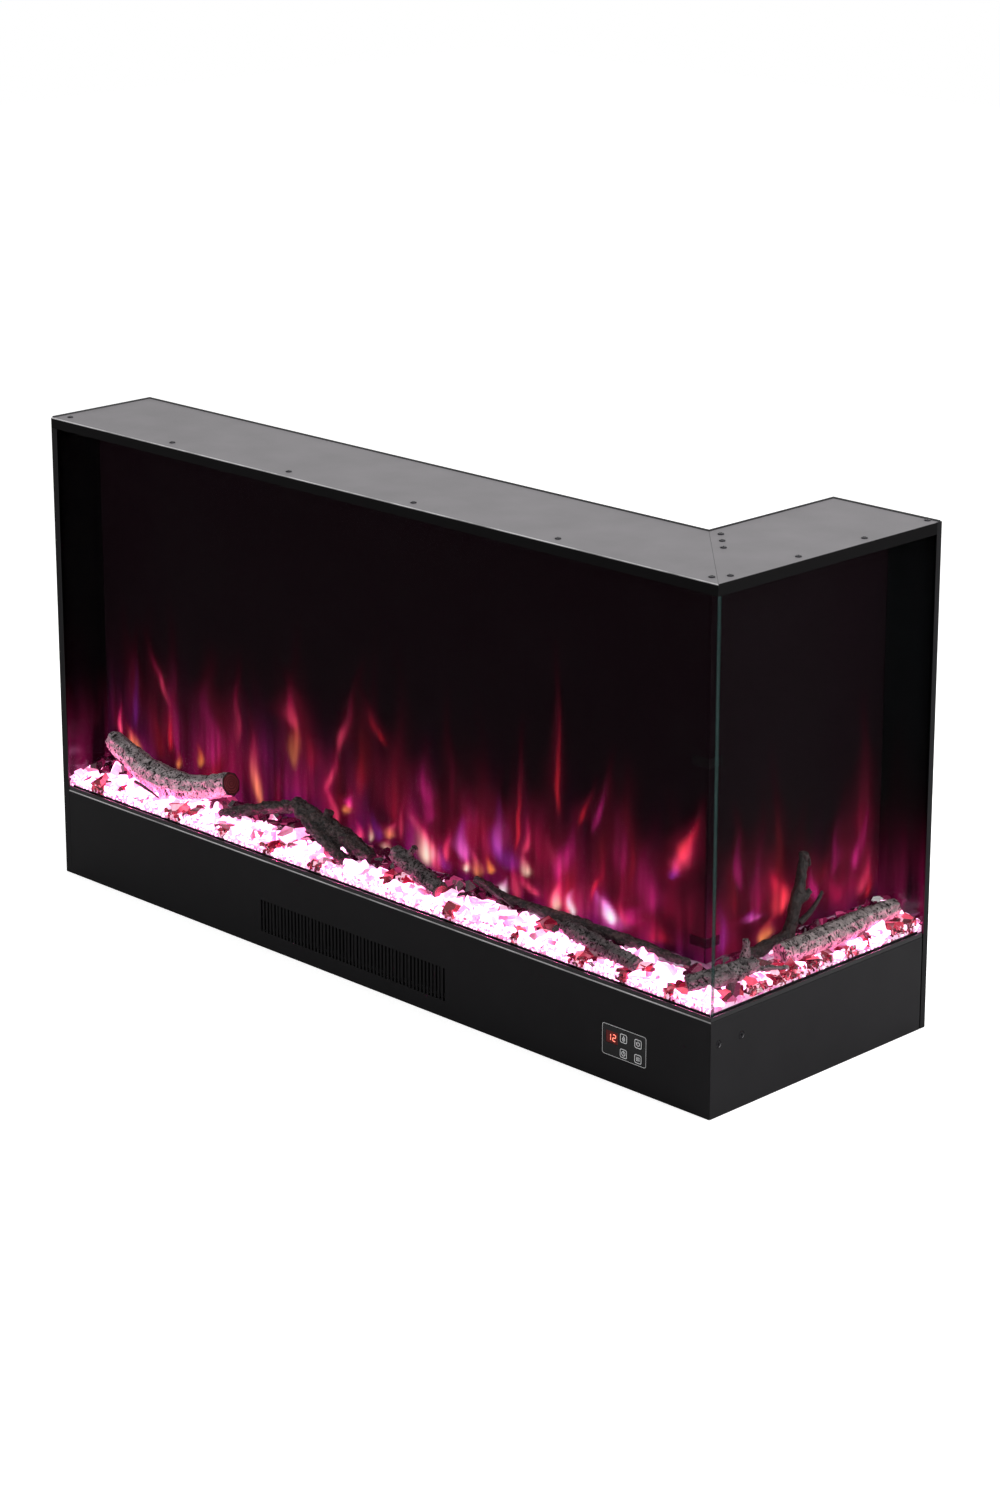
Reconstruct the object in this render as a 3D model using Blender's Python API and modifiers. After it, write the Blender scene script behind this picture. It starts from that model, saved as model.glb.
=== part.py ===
"""Two-sided corner electric fireplace for building into a wall.

A long main leg looks out through its front glass, towards -Y, and a short wing runs back
from its right end and looks out through its side glass, towards +X. Metres, +Z up, with
the origin under the middle of the whole plan.
"""
import math

import bmesh
import bpy
from mathutils import Matrix, Vector, noise

# Overall size
LENGTH = 1.200
HEIGHT = 0.648
WING_REACH = 0.402
MAIN_DEPTH = 0.174
WING_DEPTH = 0.170
BASE_HEIGHT = 0.122

# Sheet steel casing
SHEET = 0.0015
FIT_GAP = 0.0003
CAP_DROP = 0.0145
END_FLANGE = 0.0115
WING_FLANGE = 0.010
WING_SLIT = 0.002
FOLD_RADIUS = 0.0016
CORNER_RADIUS = 0.0035
LEDGE_DEPTH = 0.014
PAN_LIP = 0.012
DECK_TOP = 0.110
DECK_LIP = 0.0115
TOP_RETURN = 0.012

# One overrun for every cut, and one overlap for every joined shape
OVERRUN = 0.003
OVERLAP = 0.0006

# Glass and what holds it
GLASS = 0.005
CHANNEL_SETBACK = 0.0005
CHANNEL_WALL = 0.0015
CHANNEL_HEIGHT = 0.005
GLASS_TOP_GAP = 0.0008
GLASS_END_GAP = 0.0010
RETAINER_LEG = 0.014
RETAINER_WALL = 0.0012

# Firebox behind the glass
SCREEN_SETBACK = 0.080
SCREEN = 0.003
TRAY_WALL = 0.0015
BED_FRONT_RISE = 0.0075
BED_BACK_RISE = 0.026
EMBER_CELL = 0.0145
LUMP_SIZE = 0.016
LUMP_HEIGHT = 0.0055
BED_CUT_GAP = 0.00035
CLIP_LEG = 0.022
CLIP_HEIGHT = 0.012
CLIP_THICK = 0.0012
CLIP_LOW = 0.176
CLIP_HIGH = 0.400

# Corner joint of the two top covers
JOINT_PLATE = 0.002
JOINT_WIDTH = 0.044
JOINT_START = 0.062
JOINT_END_GAP = 0.011
JOINT_SCREW_OFFSET = 0.0134
JOINT_SCREW_INSET = 0.0095
JOINT_SCREW_PITCH = 0.0311
JOINT_SCREWS = 3
SCREW_HEAD_RADIUS = 0.004
SCREW_HEAD_RISE = 0.0018
SCREW_DOME_SHARE = 0.72
SCREW_SHANK_RADIUS = 0.0019
SCREW_HOLE_RADIUS = 0.0026

# Screws in the side fascia, by the corner
SIDE_SCREW_FIRST = 0.014
SIDE_SCREW_PITCH = 0.0406
SIDE_SCREW_HEIGHT = 0.0915
SIDE_SCREW_LENGTH = 0.009
SIDE_SCREW_HOLE_RADIUS = 0.0047
SIDE_SCREW_SINK = 0.0001

# Hot air grille in the front fascia
GRILLE_CENTRE_SHARE = 0.487
GRILLE_LOW = 0.022
GRILLE_HEIGHT = 0.044
SLOT_WIDTH = 0.0033
SLOT_PITCH = 0.0066
SLOTS = 53

# Fan heater behind the grille
HOUSING_LENGTH = 0.370
HOUSING_DEPTH = 0.096
HOUSING_HEIGHT = 0.094
HOUSING_WALL = 0.0012
INTAKE_LENGTH = 0.300
INTAKE_DEPTH = 0.040
INTAKE_SLOTS = 24
INTAKE_SLOT_WIDTH = 0.0035
ELEMENT_SETBACK = 0.0085
ELEMENT_DEPTH = 0.014
ELEMENT_LOW = 0.019
ELEMENT_HEIGHT = 0.052
ELEMENT_RAIL = 0.006
ELEMENT_FINS = 25
ELEMENT_FIN = 0.004
WHEEL_RADIUS = 0.024
WHEEL_BLADES = 14
WHEEL_BLADE_DEPTH = 0.006
WHEEL_BLADE = 0.0012
WHEEL_DISC = 0.003
WHEEL_END_GAP = 0.006
WHEEL_AXIS_SETBACK = 0.062
WHEEL_AXIS_HEIGHT = 0.050
WHEEL_RIM_SHARE = 0.955
SHAFT_RADIUS = 0.0025
SHAFT_BORE_RADIUS = 0.0031
SHAFT_SEAT = 0.006
MOTOR_GAP = 0.002
MOTOR_RADIUS = 0.021
MOTOR_LENGTH = 0.026
MOTOR_PLATE = 0.003
MOTOR_FOOT = 0.024
BOSS_RADIUS = 0.006
BOSS_LENGTH = 0.008

# Flame effect behind the screens
ROTOR_RISE = 0.028
ROTOR_RADIUS = 0.017
ROTOR_FIN_WIDTH = 0.030
ROTOR_FIN_PITCH = 0.058
ROTOR_FIN = 0.0008
ROTOR_FIN_TURN = math.radians(50)
ROTOR_INSET = 0.034
ROTOR_CORNER_GAP = 0.030
BRACKET_WIDTH = 0.044
BRACKET_HEIGHT = 0.054
BEARING_PLATE = 0.003
BEARING_WIDTH = 0.026
BEARING_HEIGHT = 0.038
LED_STRIP_WIDTH = 0.010
LED_STRIP = 0.0016
LED_SIZE = 0.005
LED_RISE = 0.0014
LED_PITCH = 0.070
LED_END_GAP = 0.030
FLAME_LED_SHARE = 0.313

# Control panel in the front fascia
PANEL_FROM_RIGHT = 0.101
PANEL_LOW = 0.033
PANEL_WIDTH = 0.073
PANEL_HEIGHT = 0.041
PANEL_RECESS = 0.0008
PANEL_CORNER = 0.003
BEZEL_RIM = 0.004
BEZEL_BACK = 0.002
KEY_SIZE = 0.012
KEY_CORNER = 0.0024
KEY_RECESS = 0.0002
KEY_FLANGE = 0.0013
KEY_FLANGE_THICK = 0.001
KEY_TRAVEL = 0.0006
KEY_COLUMN_FIRST = 0.0362
KEY_COLUMN_PITCH = 0.0235
KEY_ROW_FIRST = 0.0095
KEY_ROW_PITCH = 0.0192
DISPLAY_LEFT = 0.0070
DISPLAY_LOW = 0.0170
DISPLAY_WIDTH = 0.0190
DISPLAY_HEIGHT = 0.0150
DISPLAY_RECESS = 0.0003
SWITCH_SIZE = 0.006
SWITCH_HEIGHT = 0.0035
BOARD = 0.0016
POST_SIZE = 0.003

# Power board and cable gland
POWER_GAP = 0.0646
POWER_LENGTH = 0.110
POWER_WIDTH = 0.070
POWER_STANDOFF = 0.006
STANDOFF_RADIUS = 0.003
STANDOFF_INSET = 0.006
TRANSFORMER_LENGTH = 0.034
TRANSFORMER_WIDTH = 0.030
TRANSFORMER_HEIGHT = 0.026
CAPACITOR_RADIUS = 0.008
CAPACITOR_HEIGHT = 0.022
GLAND_FROM_RIGHT = 0.300
GLAND_HEIGHT = 0.045
GLAND_BODY_RADIUS = 0.008
GLAND_FLANGE_RADIUS = 0.014
GLAND_FLANGE = 0.004
GLAND_DOME_RADIUS = 0.010
GLAND_DOME_LENGTH = 0.016
GLAND_INNER_LENGTH = 0.012
GLAND_BORE_RADIUS = 0.0042
VENT_SLOTS = 18
VENT_PITCH = 0.014
VENT_WIDTH = 0.0035
VENT_HEIGHT = 0.030
VENT_FROM_TOP = 0.060
VENT_CENTRE_SHARE = 0.36

# Logs, each with its widest radius
BIRCH_LEFT_RADIUS = 0.0200
FORK_RADIUS = 0.0092
FORK_KNOTTY_RADIUS = 0.0115
SHORT_RADIUS = 0.0125
REAR_BRANCH_RADIUS = 0.0078
RINGED_RADIUS = 0.0116
CORNER_LOG_RADIUS = 0.0145
ROOT_RADIUS = 0.0085
BIRCH_WING_RADIUS = 0.0152
LOG_GRAIN = 0.030
LOG_GRAIN_SHARE = 0.10
LOG_STEPS = 4

# Places on the logs: share of the leg's run, share of the bed's depth from the glass,
# height above the bed in radii, and girth as a share of the radius.
# The main leg's run is its length from the left end, the wing's its reach from the front.
BIRCH_LEFT_SHARES = [(0.030, 0.72, 2.15, 0.72), (0.066, 0.66, 1.60, 0.86), (0.106, 0.58, 1.05, 1.00),
                     (0.159, 0.58, 0.82, 1.00), (0.200, 0.63, 1.20, 0.92), (0.240, 0.70, 1.90, 0.80)]
FORK_LEFT_SHARES = [(0.241, 0.43, 0.50, 0.80), (0.292, 0.58, 2.50, 0.90), (0.353, 0.70, 4.30, 1.00)]
FORK_RIGHT_SHARES = [(0.349, 0.69, 4.10, 0.95), (0.400, 0.52, 2.10, 1.00), (0.447, 0.36, 0.30, 1.00)]
FORK_KNOTTY_SHARES = [(0.345, 0.72, 3.60, 0.80), (0.417, 0.68, 2.10, 1.00), (0.476, 0.58, 0.60, 0.95)]
FORK_KNOB_SHARES = [(0.396, 0.70, 2.50, 0.55), (0.401, 0.72, 4.00, 0.55)]
SHORT_SHARES = [(0.504, 0.72, 1.70, 0.95), (0.550, 0.58, 1.00, 1.00), (0.596, 0.37, 0.60, 0.93)]
SHORT_KNOB_SHARES = [(0.524, 0.66, 1.40, 0.45), (0.535, 0.72, 3.00, 0.42)]
REAR_BRANCH_SHARES = [(0.621, 0.80, 2.40, 0.70), (0.680, 0.80, 0.70, 0.90), (0.744, 0.82, 0.80, 1.00),
                      (0.788, 0.80, 0.90, 1.00), (0.846, 0.82, 0.70, 0.95), (0.922, 0.80, 0.60, 0.70)]
RINGED_SHARES = [(0.767, 0.50, 1.20, 0.85), (0.825, 0.40, 0.75, 1.00), (0.882, 0.29, 0.55, 0.95)]
CORNER_LOG_SHARES = [(0.062, 0.74, 0.55, 0.85), (0.150, 0.44, 0.75, 1.00), (0.300, 0.44, 0.75, 0.80)]
CORNER_STUB_SHARES = [(0.262, 0.44, 0.80, 0.55), (0.268, 0.46, 3.10, 0.28)]
CORNER_TWIG_SHARES = [(0.270, 0.40, 0.60, 0.30), (0.335, 0.22, 0.70, 0.28), (0.395, 0.12, 0.50, 0.22)]
ROOT_SHARES = [(0.323, 0.72, 0.80, 0.85), (0.430, 0.78, 0.70, 1.00), (0.540, 0.80, 0.80, 1.05)]
ROOT_STEM_SHARES = [(0.530, 0.80, 0.70, 1.05), (0.566, 0.80, 6.50, 0.85), (0.590, 0.77, 12.8, 0.80)]
ROOT_KNOB_SHARES = [(0.560, 0.80, 5.00, 0.60), (0.622, 0.76, 6.90, 0.55)]
BIRCH_WING_SHARES = [(0.412, 0.42, 0.80, 0.90), (0.535, 0.35, 0.90, 1.00), (0.677, 0.38, 0.85, 1.00),
                     (0.820, 0.41, 0.90, 0.95), (0.945, 0.39, 1.00, 0.80)]

# Places that follow from the sizes above
LEFT = -LENGTH / 2
RIGHT = LENGTH / 2
FRONT = -WING_REACH / 2
REAR = WING_REACH / 2
BACK = FRONT + MAIN_DEPTH
INNER = RIGHT - WING_DEPTH
INSIDE = SHEET + FIT_GAP
COVER_UNDER = HEIGHT - SHEET - FIT_GAP
GLASS_SETBACK = CHANNEL_SETBACK + CHANNEL_WALL + FIT_GAP
CHANNEL_WIDTH = GLASS + 2 * (CHANNEL_WALL + FIT_GAP)
TRAY_SETBACK = CHANNEL_SETBACK + CHANNEL_WIDTH + FIT_GAP
TRAY_REAR = SCREEN_SETBACK - FIT_GAP
TRAY_FLOOR = BASE_HEIGHT + FIT_GAP + TRAY_WALL
BED_SETBACK = TRAY_SETBACK + FIT_GAP
BED_DEPTH = TRAY_REAR - BED_SETBACK
SCREEN_TOP = COVER_UNDER - JOINT_PLATE - FIT_GAP
WHEEL_Y = FRONT + WHEEL_AXIS_SETBACK
GRILLE_X = LEFT + GRILLE_CENTRE_SHARE * LENGTH
MOTOR_FACE_X = GRILLE_X + HOUSING_LENGTH / 2 + MOTOR_GAP + BOSS_LENGTH
HOUSING_FRONT = FRONT + 2 * INSIDE
HOUSING_LOW = INSIDE
ROTOR_Z = DECK_TOP + ROTOR_RISE
MAIN_ROTOR_Y = (FRONT + SCREEN_SETBACK + SCREEN + BACK - SHEET) / 2
WING_ROTOR_X = (RIGHT - SCREEN_SETBACK - SCREEN + INNER + SHEET) / 2
PANEL_LEFT = RIGHT - PANEL_FROM_RIGHT - PANEL_WIDTH
BEZEL_FRONT = FRONT + PANEL_RECESS
BEZEL_REAR = FRONT + INSIDE + BEZEL_BACK
KEY_REAR = BEZEL_REAR + FIT_GAP + KEY_FLANGE_THICK
SWITCH_FRONT = KEY_REAR + KEY_TRAVEL + FIT_GAP
BOARD_FRONT = SWITCH_FRONT + SWITCH_HEIGHT

AXIS_X = Vector((1, 0, 0))
AXIS_Y = Vector((0, 1, 0))
AXIS_Z = Vector((0, 0, 1))

for old in list(bpy.data.objects):
    bpy.data.objects.remove(old, do_unlink=True)

parts = bpy.data.collections.new("corner_electric_fireplace")
cutters = bpy.data.collections.new("cutters")
bpy.context.scene.collection.children.link(parts)
bpy.context.scene.collection.children.link(cutters)


def material(name, colour, roughness, metallic=0.0, alpha=1.0, glow=0.0):
    """A plain finish: base colour, roughness, metal share and, for lit pieces, a glow."""
    finish = bpy.data.materials.new(name)
    finish.use_nodes = True
    shader = finish.node_tree.nodes["Principled BSDF"]
    shader.inputs["Base Color"].default_value = (*colour, 1.0)
    shader.inputs["Roughness"].default_value = roughness
    shader.inputs["Metallic"].default_value = metallic
    shader.inputs["Alpha"].default_value = alpha
    if glow:
        shader.inputs["Emission Color"].default_value = (*colour, 1.0)
        shader.inputs["Emission Strength"].default_value = glow
    return finish


BLACK_STEEL = material("black_powder_coat", (0.018, 0.017, 0.019), 0.55, 0.2)
TOP_STEEL = material("top_powder_coat", (0.060, 0.058, 0.060), 0.50, 0.2)
ZINC_STEEL = material("zinc_plated_steel", (0.55, 0.56, 0.58), 0.35, 1.0)
CLEAR_GLASS = material("toughened_glass", (0.80, 0.92, 0.88), 0.02, 0.0, 0.25)
SCREEN_ACRYLIC = material("smoked_acrylic", (0.030, 0.008, 0.020), 0.15, 0.0, 0.85)
BLACK_PLASTIC = material("black_plastic", (0.012, 0.012, 0.013), 0.45)
GLOSS_PLASTIC = material("gloss_black_acrylic", (0.006, 0.006, 0.007), 0.08)
CRYSTAL = material("lit_crystals", (1.0, 0.62, 0.86), 0.25, 0.0, 1.0, 1.0)
BIRCH_BARK = material("painted_birch_bark", (0.30, 0.28, 0.27), 0.85)
DARK_BARK = material("painted_dark_bark", (0.050, 0.040, 0.036), 0.90)
BRIGHT_FOIL = material("polished_foil", (0.88, 0.88, 0.86), 0.12, 1.0)
CIRCUIT_BOARD = material("circuit_board", (0.02, 0.16, 0.07), 0.5)
DISPLAY_RED = material("display_window", (0.25, 0.01, 0.01), 0.1, 0.0, 1.0, 0.3)
CERAMIC = material("heater_ceramic", (0.62, 0.60, 0.56), 0.7)


def place(obj, finish, collection=parts):
    """Files the object under one collection and gives it its finish."""
    for old in list(obj.users_collection):
        old.objects.unlink(obj)
    collection.objects.link(obj)
    obj.data.materials.clear()
    obj.data.materials.append(finish)
    return obj


def hidden(obj):
    """Marks the object as a cutter or a shape that another piece takes in."""
    place(obj, BLACK_STEEL, cutters)
    obj.hide_render = True
    obj.display_type = "WIRE"
    return obj


def box(name, low, high, finish=BLACK_STEEL):
    """A block between two opposite corners."""
    low, high = Vector(low), Vector(high)
    bpy.ops.mesh.primitive_cube_add(size=1.0, location=(low + high) / 2)
    obj = bpy.context.object
    obj.name = name
    obj.data.transform(Matrix.Diagonal((*(high - low), 1.0)))
    return place(obj, finish)


def rod(name, start, end, radius, finish=ZINC_STEEL, sides=16, tip=None):
    """A cylinder or, with a tip radius, a cone between two points."""
    start, end = Vector(start), Vector(end)
    mesh = bpy.data.meshes.new(name)
    shape = bmesh.new()
    bmesh.ops.create_cone(shape, cap_ends=True, segments=sides, radius1=radius,
                          radius2=radius if tip is None else tip, depth=(end - start).length)
    shape.to_mesh(mesh)
    shape.free()
    obj = bpy.data.objects.new(name, mesh)
    obj.location = (start + end) / 2
    obj.rotation_euler = (end - start).to_track_quat("Z", "Y").to_euler()
    bpy.context.scene.collection.objects.link(obj)
    return place(obj, finish)


def mesh_of(obj):
    """Replaces a curve object by its closed mesh, with the caps welded on."""
    bpy.context.view_layer.update()
    graph = bpy.context.evaluated_depsgraph_get()
    mesh = bpy.data.meshes.new_from_object(obj.evaluated_get(graph))
    shape = bmesh.new()
    shape.from_mesh(mesh)
    bmesh.ops.remove_doubles(shape, verts=shape.verts, dist=FIT_GAP / 100)
    bmesh.ops.recalc_face_normals(shape, faces=shape.faces)
    shape.to_mesh(mesh)
    shape.free()
    name, matrix = obj.name, obj.matrix_world.copy()
    bpy.data.objects.remove(obj, do_unlink=True)
    solid = bpy.data.objects.new(name, mesh)
    solid.matrix_world = matrix
    bpy.context.scene.collection.objects.link(solid)
    return solid


def extruded(name, outline, across, up, start, end, finish=BLACK_STEEL):
    """A flat outline, drawn on the across and up directions, run from start to end."""
    curve = bpy.data.curves.new(name, "CURVE")
    curve.dimensions = "2D"
    curve.fill_mode = "BOTH"
    curve.extrude = abs(end - start) / 2
    spline = curve.splines.new("POLY")
    spline.points.add(len(outline) - 1)
    for point, (u, v) in zip(spline.points, outline):
        point.co = (u, v, 0, 1)
    spline.use_cyclic_u = True
    along = across.cross(up)
    turn = Matrix((across, up, along)).transposed().to_4x4()
    obj = bpy.data.objects.new(name, curve)
    obj.matrix_world = Matrix.Translation(along * (start + end) / 2) @ turn
    bpy.context.scene.collection.objects.link(obj)
    return place(mesh_of(obj), finish)


def front_rail(name, section, start, end, finish=BLACK_STEEL):
    """A section of (setback from the front face, height) run along X."""
    outline = [(FRONT + setback, z) for setback, z in section]
    return extruded(name, outline, AXIS_Y, AXIS_Z, start, end, finish)


def side_rail(name, section, start, end, finish=BLACK_STEEL):
    """A section of (setback from the side face, height) run along Y."""
    outline = [(setback - RIGHT, z) for setback, z in section]
    return extruded(name, outline, -AXIS_X, AXIS_Z, start, end, finish)


def post(name, plan, low, high, finish=BLACK_STEEL):
    """A plan outline raised along Z."""
    return extruded(name, plan, AXIS_X, AXIS_Y, low, high, finish)


def arc(centre, radius, first, last, steps=4):
    """Points of an arc from one angle to another, in degrees."""
    turns = [math.radians(first + (last - first) * i / steps) for i in range(steps + 1)]
    return [(centre[0] + radius * math.cos(t), centre[1] + radius * math.sin(t)) for t in turns]


def rounded(low, high, radius, steps=3):
    """A rectangle with rounded corners, counter-clockwise."""
    corners = [((high[0] - radius, low[1] + radius), 270), ((high[0] - radius, high[1] - radius), 0),
               ((low[0] + radius, high[1] - radius), 90), ((low[0] + radius, low[1] + radius), 180)]
    return [p for centre, first in corners for p in arc(centre, radius, first, first + 90, steps)]


def boolean(piece, other, operation):
    """Cuts the other shape from the piece, or joins it on."""
    hidden(other)
    step = piece.modifiers.new(operation.lower(), "BOOLEAN")
    step.operation = operation
    step.solver = "EXACT"
    step.object = other
    return piece


def cut(piece, *others):
    for other in others:
        boolean(piece, other, "DIFFERENCE")
    return piece


def join(piece, *others):
    for other in others:
        boolean(piece, other, "UNION")
    return piece


def repeat(obj, count, step):
    """Copies a cutter along one direction."""
    array = obj.modifiers.new("repeat", "ARRAY")
    array.count = count
    array.use_relative_offset = False
    array.use_constant_offset = True
    array.constant_offset_displace = step
    return obj


def mitre(piece, normal):
    """Trims the piece at the upright plane through the outer corner that the normal points out of."""
    normal = Vector(normal).normalized()
    corner = Vector((RIGHT, FRONT, 0)) - normal * FIT_GAP / 2
    to_piece = piece.matrix_world.inverted()
    shape = bmesh.new()
    shape.from_mesh(piece.data)
    plane = shape.verts[:] + shape.edges[:] + shape.faces[:]
    found = bmesh.ops.bisect_plane(shape, geom=plane, plane_co=to_piece @ corner, clear_outer=True,
                                   plane_no=to_piece.to_3x3() @ normal, dist=FIT_GAP / 1000)
    rim = [e for e in found["geom_cut"] if isinstance(e, bmesh.types.BMEdge) and e.is_boundary]
    bmesh.ops.contextual_create(shape, geom=rim)
    bmesh.ops.recalc_face_normals(shape, faces=shape.faces)
    shape.to_mesh(piece.data)
    shape.free()
    return piece


SQUARE_MITRE = Vector((1, 1, 0))
COVER_MITRE = Vector((MAIN_DEPTH, WING_DEPTH, 0))


def fold_section(drop_from, drop_to, depth, wall=SHEET):
    """A sheet folded down at the front: flange on the outside, flat on top."""
    fold = arc((FOLD_RADIUS, drop_from - FOLD_RADIUS), FOLD_RADIUS, 180, 90)
    return [(0, drop_to), (wall, drop_to), (wall, drop_from - wall), (depth, drop_from - wall),
            (depth, drop_from)] + fold[::-1]


def casing():
    """Fascias, end panels, rear panels, top covers and base pans."""
    fascia = fold_section(BASE_HEIGHT, 0, LEDGE_DEPTH)
    front = front_rail("front_fascia", fascia, LEFT + END_FLANGE + FIT_GAP, RIGHT + OVERRUN)
    mitre(front, SQUARE_MITRE)
    side = side_rail("side_fascia", fascia, FRONT - OVERRUN, REAR - WING_FLANGE - WING_SLIT)
    mitre(side, -SQUARE_MITRE)
    cut(front, grille_cutter(), panel_cutter())
    for y in side_screw_places():
        hole = rod("side_screw_hole", (RIGHT - SHEET - OVERRUN, y, SIDE_SCREW_HEIGHT),
                   (RIGHT + OVERRUN, y, SIDE_SCREW_HEIGHT), SIDE_SCREW_HOLE_RADIUS)
        cut(side, hole)

    end_plan = [(LEFT, FRONT), (LEFT + END_FLANGE, FRONT), (LEFT + END_FLANGE, FRONT + SHEET),
                (LEFT + SHEET, FRONT + SHEET), (LEFT + SHEET, BACK), (LEFT, BACK)]
    end = post("left_end_panel", end_plan, 0, HEIGHT)
    cut(end, box("cap_notch", (LEFT - OVERRUN, FRONT - OVERRUN, HEIGHT - CAP_DROP - FIT_GAP),
                 (LEFT + END_FLANGE + OVERRUN, FRONT + INSIDE, HEIGHT + OVERRUN)))

    wing_plan = [(INNER, REAR), (INNER, REAR - SHEET), (RIGHT - SHEET, REAR - SHEET),
                 (RIGHT - SHEET, REAR - WING_FLANGE), (RIGHT, REAR - WING_FLANGE),
                 *arc((RIGHT - FOLD_RADIUS, REAR - FOLD_RADIUS), FOLD_RADIUS, 0, 90)]
    post("wing_end_panel", wing_plan, 0, HEIGHT)

    return_low = COVER_UNDER - SHEET
    main_rear = [(MAIN_DEPTH, 0), (MAIN_DEPTH, HEIGHT), (MAIN_DEPTH - SHEET, HEIGHT),
                 (MAIN_DEPTH - SHEET, COVER_UNDER), (MAIN_DEPTH - TOP_RETURN, COVER_UNDER),
                 (MAIN_DEPTH - TOP_RETURN, return_low), (MAIN_DEPTH - SHEET, return_low),
                 (MAIN_DEPTH - SHEET, 0)]
    rear = front_rail("rear_panel_main", main_rear, LEFT + INSIDE, INNER + SHEET)
    cut(rear, gland_hole(), vent_cutter())
    wing_rear = [(WING_DEPTH - MAIN_DEPTH + setback, z) for setback, z in main_rear]
    side_rail("rear_panel_wing", wing_rear, BACK + FIT_GAP, REAR - INSIDE)

    cover = fold_section(HEIGHT, HEIGHT - CAP_DROP, MAIN_DEPTH - INSIDE)
    main_cover = mitre(front_rail("top_cover_main", cover, LEFT, RIGHT + OVERRUN, TOP_STEEL), COVER_MITRE)
    cut(main_cover, box("end_panel_notch", (LEFT - OVERRUN, FRONT + INSIDE, HEIGHT - SHEET - OVERRUN),
                        (LEFT + INSIDE, BACK + OVERRUN, HEIGHT + OVERRUN)))
    cover = fold_section(HEIGHT, HEIGHT - CAP_DROP, WING_DEPTH - INSIDE)
    wing_cover = mitre(side_rail("top_cover_wing", cover, FRONT - OVERRUN, REAR - INSIDE, TOP_STEEL),
                       -COVER_MITRE)
    cut(wing_cover, box("wing_flange_notch",
                        (RIGHT - INSIDE, REAR - WING_FLANGE - FIT_GAP, HEIGHT - CAP_DROP - OVERRUN),
                        (RIGHT + OVERRUN, REAR + OVERRUN, HEIGHT + OVERRUN)))
    joint_plate(wing_cover)

    base_tray("base_pan_main", "base_pan_wing", 0, SHEET, PAN_LIP, BLACK_STEEL)
    base_tray("deck_main", "deck_wing", DECK_TOP, DECK_TOP - SHEET, DECK_TOP - DECK_LIP, ZINC_STEEL)
    cut(bpy.data.objects["base_pan_main"], intake_cutter())


def base_tray(main_name, wing_name, skin, inner_skin, lip, finish):
    """A folded sheet across each leg, with a lip along both long edges."""
    for name, rail, depth, start, end in (
            (main_name, front_rail, MAIN_DEPTH, LEFT + INSIDE, RIGHT - INSIDE),
            (wing_name, side_rail, WING_DEPTH, BACK - SHEET, REAR - INSIDE)):
        near, far = INSIDE, depth - INSIDE
        rail(name, [(near, skin), (far, skin), (far, lip), (far - SHEET, lip), (far - SHEET, inner_skin),
                    (near + SHEET, inner_skin), (near + SHEET, lip), (near, lip)], start, end, finish)


def grille_cutter():
    """A row of upright slots."""
    first = GRILLE_X - (SLOTS - 1) * SLOT_PITCH / 2
    slot = box("grille_slots", (first - SLOT_WIDTH / 2, FRONT - OVERRUN, GRILLE_LOW),
               (first + SLOT_WIDTH / 2, FRONT + SHEET + OVERRUN, GRILLE_LOW + GRILLE_HEIGHT))
    return repeat(slot, SLOTS, (SLOT_PITCH, 0, 0))


def panel_cutter():
    """The window that the control panel looks out of."""
    outline = rounded((PANEL_LEFT, PANEL_LOW), (PANEL_LEFT + PANEL_WIDTH, PANEL_LOW + PANEL_HEIGHT),
                      PANEL_CORNER)
    return extruded("panel_window", outline, AXIS_X, AXIS_Z, -FRONT + OVERRUN, -FRONT - SHEET - OVERRUN)


def intake_cutter():
    """Slots in the base under the fan."""
    pitch = INTAKE_LENGTH / INTAKE_SLOTS
    first = GRILLE_X - (INTAKE_SLOTS - 1) * pitch / 2
    slot = box("intake_slots", (first - INTAKE_SLOT_WIDTH / 2, WHEEL_Y - INTAKE_DEPTH / 2, -OVERRUN),
               (first + INTAKE_SLOT_WIDTH / 2, WHEEL_Y + INTAKE_DEPTH / 2, SHEET + OVERRUN))
    return repeat(slot, INTAKE_SLOTS, (pitch, 0, 0))


def vent_cutter():
    """Cooling slots high in the main rear panel."""
    first = LEFT + VENT_CENTRE_SHARE * LENGTH - (VENT_SLOTS - 1) * VENT_PITCH / 2
    top = HEIGHT - VENT_FROM_TOP
    slot = box("vent_slots", (first - VENT_WIDTH / 2, BACK - SHEET - OVERRUN, top - VENT_HEIGHT),
               (first + VENT_WIDTH / 2, BACK + OVERRUN, top))
    return repeat(slot, VENT_SLOTS, (VENT_PITCH, 0, 0))


def gland_hole():
    x = RIGHT - GLAND_FROM_RIGHT
    return rod("gland_hole", (x, BACK - SHEET - OVERRUN, GLAND_HEIGHT), (x, BACK + OVERRUN, GLAND_HEIGHT),
               GLAND_DOME_RADIUS + 2 * FIT_GAP, sides=24)


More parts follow.
